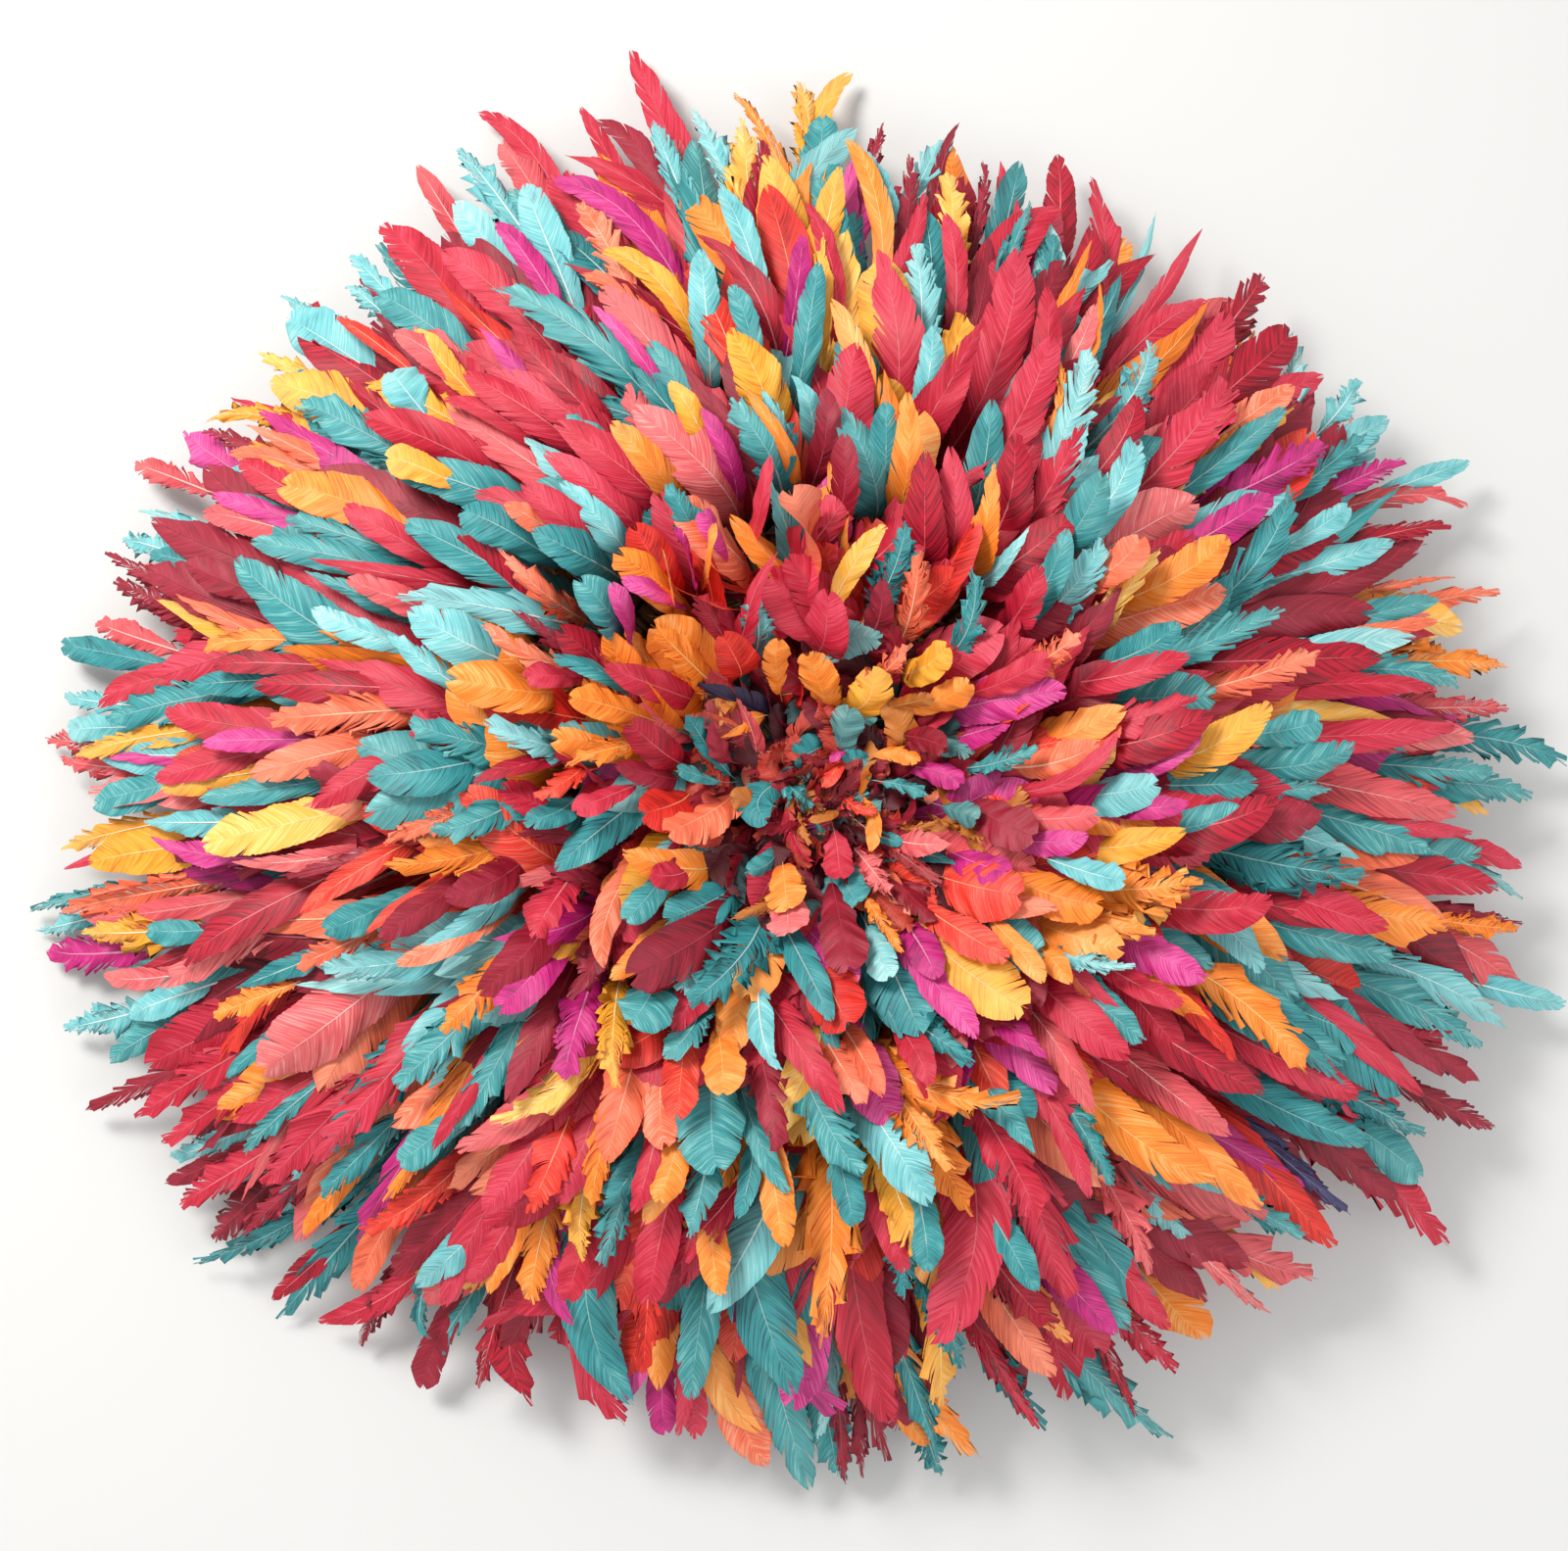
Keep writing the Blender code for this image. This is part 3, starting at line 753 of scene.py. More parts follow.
# Surface of feathers and of raffia
GLOSS_SPREAD = 0.25
GLOSS_BASE = 0.36
FINE_RELIEF = 0.7
FEATHER_BUMP = {"Strength": 0.34, "Distance": 0.0006}
FEATHER_SURFACE = {"Sheen Weight": 0.10, "Sheen Roughness": 0.4, "Specular IOR Level": 0.40}
RAFFIA_DARK = (74, 48, 24)
RAFFIA_LIGHT = (198, 162, 106)
FIBRE_RANGE = (0.25, 0.75)
WEAVE_GAP_SHADE_RANGE = (0.0, 0.55)
FIBRE_RELIEF = 0.3
RAFFIA_BUMP = 0.8
RAFFIA_GLOSS = (0.2, 0.6)
COIL_FIBRES = 420.0
COIL_RELIEF = 0.0012
STITCH_LIFT = (0.55, 0.45)
BINDING_FIBRES = 300.0
BINDING_RELIEF = 0.0005

# Studio
FLOOR_REACH = 4.0
FLOOR_COLOR = (0.72, 0.72, 0.71, 1)
FLOOR_ROUGHNESS = 0.9
LIGHT_AIM = (0, 0, 0.05)
LAMPS = (
    Lamp("key", (-0.9, 0.75, 1.4), 0.55, 28.0, (1.0, 0.98, 0.95)),
    Lamp("fill", (1.1, -0.9, 1.3), 1.2, 8.0, (0.97, 0.98, 1.0)),
)
SKY_STRENGTH = 0.66


def linear(color):
    """An sRGB colour in bytes as linear light, opaque."""
    share = np.array(color) / 255
    return (*np.where(share <= 0.04045, share / 12.92, ((share + 0.055) / 1.055) ** 2.4), 1)


def smooth(share):
    """Eases a share of the way from 0 to 1."""
    share = np.clip(share, 0, 1)
    return share * share * (3 - 2 * share)


def unit(vectors):
    """Vectors at length 1."""
    return vectors / np.maximum(np.linalg.norm(vectors, axis=-1, keepdims=True), 1e-9)


def directions(angles):
    """Flat directions at angles."""
    return np.stack([np.cos(angles), np.sin(angles)], axis=-1)


def mound_height(radius):
    """The mound's top at distances from its middle."""
    return np.interp(radius, MOUND_RADII, MOUND_HEIGHTS)


def outline_at(bearing):
    """The outline's reach and rise at bearings in radians, eased between the stated ones."""
    place = np.degrees(bearing) % 360 / (360 / len(REACHES))
    low = place.astype(int) % len(REACHES)
    high = (low + 1) % len(REACHES)
    share = smooth(place % 1)
    return (part[low] + share * (part[high] - part[low]) for part in (REACHES, RISES))


def beyond_ring(radius):
    """How far radii lie from the ring's edge to the hat's, eased from 0 to 1."""
    return smooth((radius - RING_RADIUS) / (HAT_RADIUS - RING_RADIUS))


def leaning(height):
    """How far the mound leans at heights, as a share."""
    return smooth((height - LEAN_FROM) / (LEAN_TO - LEAN_FROM))


def settled(radius, bearing, height):
    """Carries points of a round, upright mound to their place in the lopsided one."""
    reach, rise = outline_at(bearing)
    share = beyond_ring(radius)
    lean = leaning(height)
    radius = radius * (1 + share * (reach / HAT_RADIUS - 1))
    x = radius * np.cos(bearing) + lean * LEAN[0]
    y = radius * np.sin(bearing) + lean * LEAN[1]
    return np.stack([x, y, height + share * rise], axis=-1)


def unsettled(x, y, height):
    """The upright mound's radius and bearing, and the rise, under places on the lopsided one."""
    rise = 0 * x
    for _ in range(LEAN_ROUNDS):
        lean = leaning(height - rise)
        bearing = np.arctan2(y - lean * LEAN[1], x - lean * LEAN[0])
        far = np.hypot(x - lean * LEAN[0], y - lean * LEAN[1])
        reach, whole_rise = outline_at(bearing)
        radius = far
        for _ in range(REACH_ROUNDS):
            share = beyond_ring(radius)
            radius = far / (1 + share * (reach / HAT_RADIUS - 1))
        rise = share * whole_rise
    return radius, bearing, rise


def camera_axes():
    """The camera's place and its right, up and back directions."""
    back = np.array([0.0, -math.cos(ELEVATION), math.sin(ELEVATION)])
    right = np.array([1.0, 0.0, 0.0])
    return AIM + DISTANCE * back, right, np.cross(back, right), back


def add_to_scene(name, data):
    """An object with the given data, in the scene."""
    thing = bpy.data.objects.new(name, data)
    bpy.context.scene.collection.objects.link(thing)
    return thing


def make_camera():
    """The camera at the photograph's angle."""
    place, right, up, back = camera_axes()
    data = bpy.data.cameras.new("photo_camera")
    data.sensor_width = SENSOR
    data.lens = SENSOR * DISTANCE / VIEW_WIDTH
    camera = add_to_scene("photo_camera", data)
    turn = np.array([right, up, back]).T
    camera.matrix_world = Matrix([*((*row, p) for row, p in zip(turn, place)), (0, 0, 0, 1)])
    bpy.context.scene.camera = camera


def under_pixel(x, y):
    """Places of the upright mound that the photograph shows at pixels, as (x, y)."""
    place, right, up, back = camera_axes()
    pixel = VIEW_WIDTH / PHOTO_WIDTH
    ray = (-back * DISTANCE + np.outer(x - PHOTO_MIDDLE[0], right) * pixel
           - np.outer(y - PHOTO_MIDDLE[1], up) * pixel)
    height = np.full(len(x), RAY_START)
    for _ in range(RAY_ROUNDS):
        hit = place + ray * ((height - place[2]) / ray[:, 2])[:, None]
        radius, bearing, rise = unsettled(hit[:, 0], hit[:, 1], height)
        height = 0.5 * (height + mound_height(radius) + rise)
    return radius[:, None] * directions(bearing)


def on_mound(spot, depth):
    """Places under the upright mound's surface, carried to the lopsided one."""
    radius = np.hypot(spot[:, 0], spot[:, 1])
    return settled(radius, np.arctan2(spot[:, 1], spot[:, 0]), mound_height(radius) - depth)


class Plumage(NamedTuple):
    """Feathers as arrays: four control points, roll, twist, vane length, width, shape, cell."""

    points: np.ndarray
    roll: np.ndarray
    twist: np.ndarray
    vane: np.ndarray
    width: np.ndarray
    kind: np.ndarray
    cell: np.ndarray


def measure(kinds, name):
    """A measure of each feather's shape, as a view of its column."""
    return kinds[:, Kind._fields.index(name)]


def measures(kinds, *names):
    """Measures of each feather's shape, to go with its sides and barbs."""
    return (measure(kinds, name).reshape(-1, 1, 1) for name in names)


def band_section(row):
    """Corners of a band's section in radius and height, and where the quills leave it."""
    lift = math.radians(row.lift)
    along = np.array([math.cos(lift), math.sin(lift)])
    half = np.array([-along[1], along[0]]) * BAND_HEIGHT / 2
    back = along * BAND_DEPTH
    section = np.array([-half, 0 * half, half, half - back, -half - back])
    share = np.clip((row.seat + section[:, 0]) / CAP_RADIUS, 0, 1)
    cap = CAP_HEIGHT * (1 - share**CAP_SQUARENESS) ** (1 / CAP_SQUARENESS)
    under = cap if row.node in CAP_ROWS else RING_THICKNESS
    root = np.array([row.seat, np.max(under - section[:, 1]) + FLOOR_CLEARANCE / 2])
    return root + section, root


def arches(row, tip, start, bend, depth, sink, luck):
    """Control points of feathers: at the row's band, two where they arch, and at the tip."""
    count = len(tip)
    behind = start - tip
    length = np.linalg.norm(behind, axis=1)
    side = np.stack([-behind[:, 1], behind[:, 0]], axis=-1)
    bearing = np.arctan2(start[:, 1], start[:, 0]) + luck.normal(0, ROOT_SPREAD, count)
    shoulder = (1 - SHOULDER) * start + SHOULDER * (row.seat * directions(bearing))
    neck = tip + NECK * behind
    root = band_section(row)[1]
    p0 = settled(np.full(count, root[0]), bearing, np.full(count, root[1]))
    p1 = on_mound(shoulder - SHOULDER_BEND * bend[:, None] * side, depth + sink)
    p2 = on_mound(neck - bend[:, None] * side, depth + NECK_SAG * length)
    p3 = on_mound(tip, depth)
    return np.stack([p0, p1, p2, p3], axis=1)


def arch_lines(points):
    """Places along arches, their slopes there, and the lengths between the places."""
    t = np.linspace(0, 1, CURVE_STEPS + 1)[:, None]
    p0, p1, p2, p3 = (points[:, k, None] for k in range(4))
    line = (1 - t) ** 3 * p0 + 3 * t * (1 - t) ** 2 * p1 + 3 * t**2 * (1 - t) * p2 + t**3 * p3
    slope = (1 - t) ** 2 * (p1 - p0) + 2 * t * (1 - t) * (p2 - p1) + t**2 * (p3 - p2)
    return line, slope, np.linalg.norm(np.diff(line, axis=1), axis=-1)


def arch_length(points):
    """Lengths of arches."""
    return arch_lines(points)[2].sum(axis=1)


def curve_at(points, along):
    """Places and directions on arches at shares of their length; along's first axis is theirs."""
    line, slope, runs = arch_lines(points)
    run = np.cumsum(runs, axis=1)
    share = np.concatenate([np.zeros((len(points), 1)), run / run[:, -1:]], axis=1)
    place = np.empty(along.shape + (3,))
    forward = np.empty(along.shape + (3,))
    for k in range(len(points)):
        for axis in range(3):
            place[k, ..., axis] = np.interp(along[k], share[k], line[k, :, axis])
            forward[k, ..., axis] = np.interp(along[k], share[k], slope[k, :, axis])
    return place, unit(forward)


def off_cap(points):
    """Moves points that lie in the cap out of it, away from its middle."""
    for _ in range(CAP_ROUNDS):
        lean = leaning(points[..., 2:]) * LEAN
        flat = points[..., :2] - lean
        share = np.stack([np.linalg.norm(flat, axis=-1) / CAP_RADIUS,
                          points[..., 2] / CAP_HEIGHT], axis=-1)
        out = (share**CAP_SQUARENESS).sum(-1) ** (1 / CAP_SQUARENESS)
        grown = np.maximum(CAP_CLEAR / np.maximum(out, CAP_CORE), 1)[..., None]
        points = np.concatenate([flat * grown + lean, points[..., 2:] * grown], axis=-1)
    return points


def placed(feathers, along, across, above):
    """Carries points beside each feather's shaft into the hat."""
    points = feathers.points
    place, forward = curve_at(points, along)
    chord = points[:, 3] - points[:, 0]
    side = unit(np.stack([-chord[:, 1], chord[:, 0], 0 * chord[:, 0]], axis=-1))
    shape = (len(points),) + (1,) * (along.ndim - 1)
    side = side.reshape(shape + (3,))
    side = unit(side - (side * forward).sum(-1, keepdims=True) * forward)
    face = np.cross(forward, side)
    twist = feathers.twist.reshape(shape) * (along - TWIST_FROM)
    angle = (feathers.roll.reshape(shape) + twist)[..., None]
    turned_side = np.cos(angle) * side + np.sin(angle) * face
    turned_face = np.cos(angle) * face - np.sin(angle) * side
    out = place + across[..., None] * turned_side + above[..., None] * turned_face
    out[..., 2] = np.maximum(out[..., 2], FLOOR_CLEARANCE)
    return off_cap(out)


def vane_width(share, kind):
    """The half-width of a vane as a share of its widest, at shares of the vane's length."""
    belly, rise, taper, blunt = measures(kind, "belly", "rise", "taper", "blunt")
    up = np.clip((share + VANE_START) / belly, 0, 1) ** rise
    fall = np.clip((share - belly) / (1 - belly), 0, 1) ** taper
    down = np.clip(1 - fall, 0, 1) ** blunt
    return np.where(share < belly, up, down)


def vane_outlines(feathers, line, edge, luck):
    """Vanes' half-widths and ripples at the lines between their barbs, and how open they are."""
    count = len(feathers.width)
    fray, wave = measures(feathers.kind, "fray", "wave")
    broad = 0.5 * feathers.width.reshape(-1, 1, 1) * vane_width(edge, feathers.kind)
    rough = np.clip(luck.normal(size=(count, 2, len(line))), *ROUGH_RANGE)
    broad = broad * (1 + fray * rough * (FRAY_ROOT - FRAY_FADE * line))
    broad = broad * (1 + SIDE_SPREAD * luck.uniform(-1, 1, (count, 2, 1)))
    phase = luck.uniform(0, math.tau, (3, count, 2, 1))
    pace = luck.uniform(*PACE_RANGE, (count, 2, 1))
    ripple = (np.sin(RIPPLES[0] * pace * line + phase[0])
              + RIPPLE_SHARE * np.sin(RIPPLES[1] * pace * line + phase[1]))
    broad = broad * (1 + wave * ripple * (1 - RIPPLE_FADE * line))
    open_part = smooth(OPEN_MIDDLE + OPEN_SWING * np.sin(OPEN_WAVES * pace * line + phase[2]))
    return broad, ripple, open_part


def cut_locks(split, open_part, luck):
    """The first and the last line of the lock that each barb is in."""
    cuts = luck.random(open_part.shape) < split * (CUTS_CLOSED + CUTS_OPEN * open_part)
    barbs = open_part.shape[-1] - 1
    index = np.arange(barbs + 1)
    first = np.maximum.accumulate(np.where(cuts, index, 0), axis=-1)[..., :-1]
    from_end = np.where(cuts, index, barbs)[..., ::-1]
    last = np.minimum.accumulate(from_end, axis=-1)[..., ::-1][..., 1:]
    return first, last


def grow_vanes(feathers, barbs, luck):
    """Barb cells of each vane: corner places, and their places in the dye sheet's cell."""
    camber, split, depth, gap, slack, wave = measures(
        feathers.kind, "camber", "split", "depth", "gap", "slack", "wave")
    line = np.arange(barbs + 1) / barbs
    root = VANE_END * line
    edge = EDGE_START + EDGE_SPAN * line**EDGE_CURVE
    broad, ripple, open_part = vane_outlines(feathers, line, edge, luck)
    first, last = cut_locks(split, open_part, luck)

    def of_lock(values):
        return np.take_along_axis(values, first, axis=-1)[..., None, None]

    slack_c = slack[..., None, None]
    closed = CLOSED_DEPTH * np.minimum(slack, 1) * (1 - open_part[..., :-1])
    start = depth + closed + luck.normal(0, START_SPREAD, first.shape)
    start = of_lock(np.clip(start, *START_RANGE))
    shift = of_lock(luck.normal(*LOCK_SHIFT, first.shape)) * slack_c
    shrink = of_lock(luck.uniform(*LOCK_SHRINK, first.shape)) * slack_c
    lifted = of_lock(luck.normal(0, LOCK_LIFT, first.shape)) * slack_c
    middle = (0.5 * (edge[first] + edge[last]))[..., None, None]
    half = (0.5 * (edge[last] - edge[first]))[..., None, None]

    index = np.arange(barbs + 1)
    pair = np.stack([index[:-1], index[1:]], axis=-1)
    root_c = root[pair][..., None]
    edge_c = edge[pair][..., None]
    broad_c = broad[..., pair][..., None]
    ripple_c = ripple[..., pair][..., None]
    loose = np.clip((STEPS - start) / (1 - start), 0, 1) ** LOOSE_CURVE
    most = gap[..., None, None]
    pull = np.clip(PINCH * (middle - edge_c), -most, most) + shift
    share = root_c + (edge_c - root_c) * STEPS**SWEEP_CURVE + loose * pull
    off = (edge_c - middle) / half
    pointed = POINTED * np.minimum(slack, 1)[..., None, None]**2 * loose * off**2
    reach = broad_c * STEPS * (1 + shrink * loose) * (1 - pointed)
    sign = np.array([-1.0, 1.0]).reshape(1, 2, 1, 1, 1)
    above = (-camber[..., None, None] * broad_c * STEPS**CAMBER_CURVE
             + lifted * loose * broad_c)
    above = above + RIPPLE_HEIGHT * wave[..., None, None] * broad_c * STEPS * ripple_c
    vane = np.minimum(feathers.vane / arch_length(feathers.points), VANE_MOST)
    along = 1 - vane.reshape(-1, 1, 1, 1, 1) * (1 - share)
    corners = placed(feathers, along, reach * sign, above)
    sheet_x = 0.5 + 0.5 * sign * (SHAFT_BAND * 2 + (1 - SHAFT_BAND * 2) * STEPS) + 0 * share
    sheet_y = line[pair][..., None] + 0 * share
    return corners, sheet_x, sheet_y


def vane_quads(corners, sheet_x, sheet_y):
    """Quads of the barb cells, each corner with its place in the sheet's cell."""
    order = ((0, 0), (0, 1), (1, 1), (1, 0))
    quads, spots = [], []
    for side in (0, 1):
        turn = order if side else order[::-1]
        for run in range(len(STEPS) - 1):
            pick = [(slice(None), side, slice(None), cut, run + step) for cut, step in turn]
            quads.append(np.stack([corners[p] for p in pick], axis=2))
            spots.append(np.stack([np.stack([sheet_x[p], sheet_y[p]], -1) for p in pick], axis=2))
    return np.concatenate(quads, axis=1), np.concatenate(spots, axis=1)


def shaft_quads(feathers):
    """Quads of each tapered shaft, three-sided, a little proud of the vane."""
    count = len(feathers.width)
    along = np.linspace(0.0, SHAFT_END, SHAFT_RUNS + 1)
    grown = (1 - along) * (arch_length(feathers.points) / feathers.vane)[:, None]
    grown = np.minimum(grown, 1)
    stout = measure(feathers.kind, "shaft")[:, None]
    root = stout * (SHAFT_ROOT + SHAFT_PER_WIDTH * feathers.width[:, None])
    thick = (SHAFT_THIN + root * grown**SHAFT_TAPER)[..., None]
    sides = len(SHAFT_SECTION)
    grid = np.broadcast_to(along[None, :, None], (count, SHAFT_RUNS + 1, sides))
    ring = placed(feathers, grid, thick * SHAFT_SECTION[:, 0], thick * SHAFT_SECTION[:, 1])
    tall = 1 - grown
    y = np.stack([tall[:, :-1], tall[:, 1:], tall[:, 1:], tall[:, :-1]], axis=-1)
    quads, spots = [], []
    for k in range(sides):
        after = (k + 1) % sides
        quads.append(np.stack([ring[:, :-1, k], ring[:, 1:, k],
                               ring[:, 1:, after], ring[:, :-1, after]], axis=2))
        x = 0.5 + SHAFT_BAND * 0.5 * SHAFT_SECTION[[k, k, after, after], 0]
        spots.append(np.stack([np.broadcast_to(x, y.shape), y], axis=-1))
    return np.concatenate(quads, axis=1), np.concatenate(spots, axis=1)


def mesh_of_quads(name, quads, spots, slots):
    """One smooth mesh of quads whose equal corners are merged, with its sheet UV map."""
    corners = quads.reshape(-1, 3)
    keys = np.round(corners / MERGE).astype(np.int64) + 2 ** (KEY_BITS - 1)
    key = (keys[:, 0] << 2 * KEY_BITS) + (keys[:, 1] << KEY_BITS) + keys[:, 2]
    _, first, index = np.unique(key, return_index=True, return_inverse=True)
    faces = index.reshape(-1, 4)
    whole = np.array([len(set(face)) == 4 for face in faces.tolist()])
    faces = faces[whole]
    mesh = bpy.data.meshes.new(name)
    mesh.vertices.add(len(first))
    mesh.vertices.foreach_set("co", corners[first].ravel())
    mesh.loops.add(faces.size)
    mesh.loops.foreach_set("vertex_index", faces.ravel())
    mesh.polygons.add(len(faces))
    mesh.polygons.foreach_set("loop_start", np.arange(0, faces.size, 4))
    mesh.polygons.foreach_set("material_index", slots[whole])
    layer = mesh.uv_layers.new(name="OFBake")
    layer.uv.foreach_set("vector", spots.reshape(-1, 4, 2)[whole].ravel())
    mesh.update(calc_edges=True)
    mesh.validate()
    mesh.shade_smooth()
    return mesh


def in_sheet(spots, cell):
    """Moves places within a cell to the cell's own part of the sheet."""
    column, row = cell % SHEET_COLUMNS, cell // SHEET_COLUMNS
    inner = CELL_EDGE + (1 - 2 * CELL_EDGE) * np.clip(spots, 0, 1)
    x = (column[:, None, None] + inner[..., 0]) / SHEET_COLUMNS
    y = (row[:, None, None] + inner[..., 1]) / SHEET_ROWS
    return np.stack([x, y], axis=-1)


def band_quads(row):
    """Quads of a row's band of bound quills."""
    section = band_section(row)[0]
    bearing = math.tau * np.arange(BAND_SIDES + 1) / BAND_SIDES
    grid = settled(np.tile(section[:, 0], (BAND_SIDES + 1, 1)), bearing[:, None],
                   np.tile(section[:, 1], (BAND_SIDES + 1, 1)))
    grid[-1] = grid[0]
    after = np.roll(np.arange(len(section)), -1)
    quads = np.stack([grid[:-1], grid[1:], grid[1:, after], grid[:-1, after]], axis=2)
    quads = quads.reshape(1, -1, 4, 3)
    spots = np.broadcast_to(BAND_SPOTS, quads.shape[:-1] + (2,))
    cell = np.array([len(DYE_NAMES) * VARIANTS])
    return quads[0], in_sheet(spots, cell)[0]


def make_row(row, batches, materials, luck):
    """All of a row's feathers, and the band that binds them, as one piece in place of its solid."""
    binding, binding_spots = band_quads(row)
    all_quads, all_spots = [binding], [binding_spots]
    all_slots = [np.full(len(binding), len(DYE_NAMES))]
    for feathers, barbs in batches:
        if not len(feathers.width):
            continue
        quads, spots = vane_quads(*grow_vanes(feathers, barbs, luck))
        shaft, shaft_spots = shaft_quads(feathers)
        quads = np.concatenate([quads, shaft], axis=1)
        spots = in_sheet(np.concatenate([spots, shaft_spots], axis=1), feathers.cell)
        all_slots.append(np.repeat(feathers.cell // VARIANTS, quads.shape[1]))
        all_quads.append(quads.reshape(-1, 4, 3))
        all_spots.append(spots.reshape(-1, 4, 2))
    mesh = mesh_of_quads(row.node + "_plumes", np.concatenate(all_quads),
                         np.concatenate(all_spots), np.concatenate(all_slots))
    for name in DYE_NAMES + [BINDING]:
        mesh.materials.append(materials[name])
    piece = add_to_scene(row.node + "_plumes", mesh)
    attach(piece, "root")
    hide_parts(row.node)


def by_length(feathers):
    """Feathers in batches by their length, with more barbs on longer ones."""
    batches = []
    upper = math.inf
    for lower, barbs in BARBS:
        own = (feathers.vane >= lower) & (feathers.vane < upper)
        batches.append((Plumage(*(values[own] for values in feathers)), barbs))
        upper = lower
    return batches


def pick_kinds(zones, luck, names=()):
    """A shape for each feather, named or by its zone, with a little of its own in every measure."""
    kinds = []
    for place, zone in enumerate(zones):
        shares = KIND_SHARES[zone]
        name = luck.choice(list(shares), p=list(shares.values()))
        kinds.append(KINDS[names[place] if place < len(names) else name])
    kinds = np.array(kinds, dtype=float).reshape(-1, len(Kind._fields))
    kinds[:, :4] *= luck.uniform(*KIND_SPREAD, (len(kinds), 4))
    measure(kinds, "camber")[:] *= luck.uniform(*CAMBER_SPREAD, len(kinds))
    measure(kinds, "shaft")[:] *= luck.uniform(*SHAFT_SPREAD, len(kinds))
    kinds[np.array(zones) == MIDDLE] *= RAGGED
    return kinds


def pick_dyes(zones, spots, patches, luck):
    """A dye for each feather: often its patch's, since bunches of one dye are tied together."""
    dyes = []
    for zone, spot in zip(zones, spots):
        near = np.argmin(np.hypot(patches[0][:, 0] - spot[0], patches[0][:, 1] - spot[1]))
        shares = np.array([DYES[name].shares[zone] for name in DYE_NAMES], float)
        lone = luck.choice(len(DYE_NAMES), p=shares / shares.sum())
        dyes.append(patches[1][near] if luck.random() < PATCH_SHARE else lone)
    return np.array(dyes, dtype=int)


def make_patches(luck):
    """Spots over the mound, each with the dye that its bunch of feathers often has."""
    spots = luck.uniform(-HAT_RADIUS, HAT_RADIUS, (PATCHES, 2))
    shares = np.array([np.mean(DYES[name].shares[:2]) for name in DYE_NAMES])
    return spots, luck.choice(len(DYE_NAMES), PATCHES, p=shares / shares.sum())


def row_of(radius):
    """The row whose tips end at a distance from the upright mound's middle."""
    return next((row for row in ROWS if radius >= row.tip_from), ROWS[-1])


def flow(spot):
    """How far feathers turn from straight outward at places on the mound, in radians."""
    x, y = spot[..., 0] / HAT_RADIUS, spot[..., 1] / HAT_RADIUS
    return sum(w.size * np.sin(w.across * x + w.along * y + w.phase) for w in FLOW)


def turn_spread(spread, zone):
    """How much a zone's feathers turn at random, in radians."""
    return spread.middle_turn if zone == MIDDLE else spread.turn


def stack_levels(tip, start, width, first_free):
    """A depth for each feather that keeps it off those that it overlaps."""
    depth = np.zeros(len(tip))
    span = start - tip
    length = np.linalg.norm(span, axis=1)
    for k in range(1, len(tip)):
        levels = LEVELS if k < first_free else FREE_LEVELS
        away = tip[k] + LEVEL_SPOTS[:, None, None] * span[k] - tip[:k]
        share = np.clip((away * span[:k]).sum(-1) / length[:k] ** 2, 0, 1)
        apart = np.linalg.norm(away - share[..., None] * span[:k], axis=-1)
        over = apart < LEVEL_OVERLAP * (width[k] + width[:k])
        drop = LEVEL_SLOPE * (LEVEL_SPOTS[:, None] * length[k] - share * length[:k]) - depth[:k]
        clash = np.maximum(1 - np.abs(levels[:, None, None] + drop) / LEVEL_GAP, 0) * over
        depth[k] = levels[np.argmin(clash.sum(axis=(1, 2)))]
    return depth


def chart_placed():
    """The charted feathers' tips, starts, widths and bends on the upright mound."""
    column = {name: np.array([getattr(c, name) for c in CHARTED]) for name in Placed._fields[2:]}
    tip = under_pixel(column["tip_x"], column["tip_y"])
    start = under_pixel(column["from_x"], column["from_y"])
    return tip, start, OVERLAP * column["wide"] * VIEW_WIDTH / PHOTO_WIDTH, BOW * column["bow"]


def near_tip(tip, out, row, tips):
    """Whether a tip is too close to others, beside it or along its feather."""
    apart = np.array(tips) - tip
    far = apart @ out / (SPACING[1] * row.vane / ROWS[0].vane)
    beside = apart[:, 1] * out[0] - apart[:, 0] * out[1]
    wide = beside / (SPACING[0] * row.width / ROWS[0].width)
    return (far**2 + wide**2).min() < 1


def hides(tip, out, row, taken_tip, taken_start):
    """Whether a feather would lie over the part in sight of a charted one."""
    seen = tip - np.linspace(0, SEEN_SHARE, SEEN_SPOTS)[:, None] * row.vane * out
    span = taken_tip - taken_start
    part = ((seen[:, None] - taken_start) * span).sum(-1) / (span**2).sum(-1)
    near = taken_start + np.clip(part, 0, 1)[..., None] * span
    return np.linalg.norm(seen[:, None] - near, axis=-1).min() < CLEAR_SHARE * row.width


def scatter_tips(taken_tip, taken_start, luck):
    """Tips that fall at random on top, spread out and clear of the placed feathers."""
    tips = list(taken_tip)
    free = []
    for _ in range(TIP_TRIES):
        radius = RIM_CLEAR * HAT_RADIUS * math.sqrt(luck.random())
        bearing = luck.random() * math.tau
        tip = np.array([radius * math.cos(bearing), radius * math.sin(bearing)])
        row = row_of(radius)
        turn = bearing + flow(tip) + luck.normal(0, turn_spread(TOP_SPREAD, row.zone))
        out = np.array([math.cos(turn), math.sin(turn)])
        if near_tip(tip, out, row, tips) or hides(tip, out, row, taken_tip, taken_start):
            continue
        tips.append(tip)
        free.append((tip, turn))
    return free


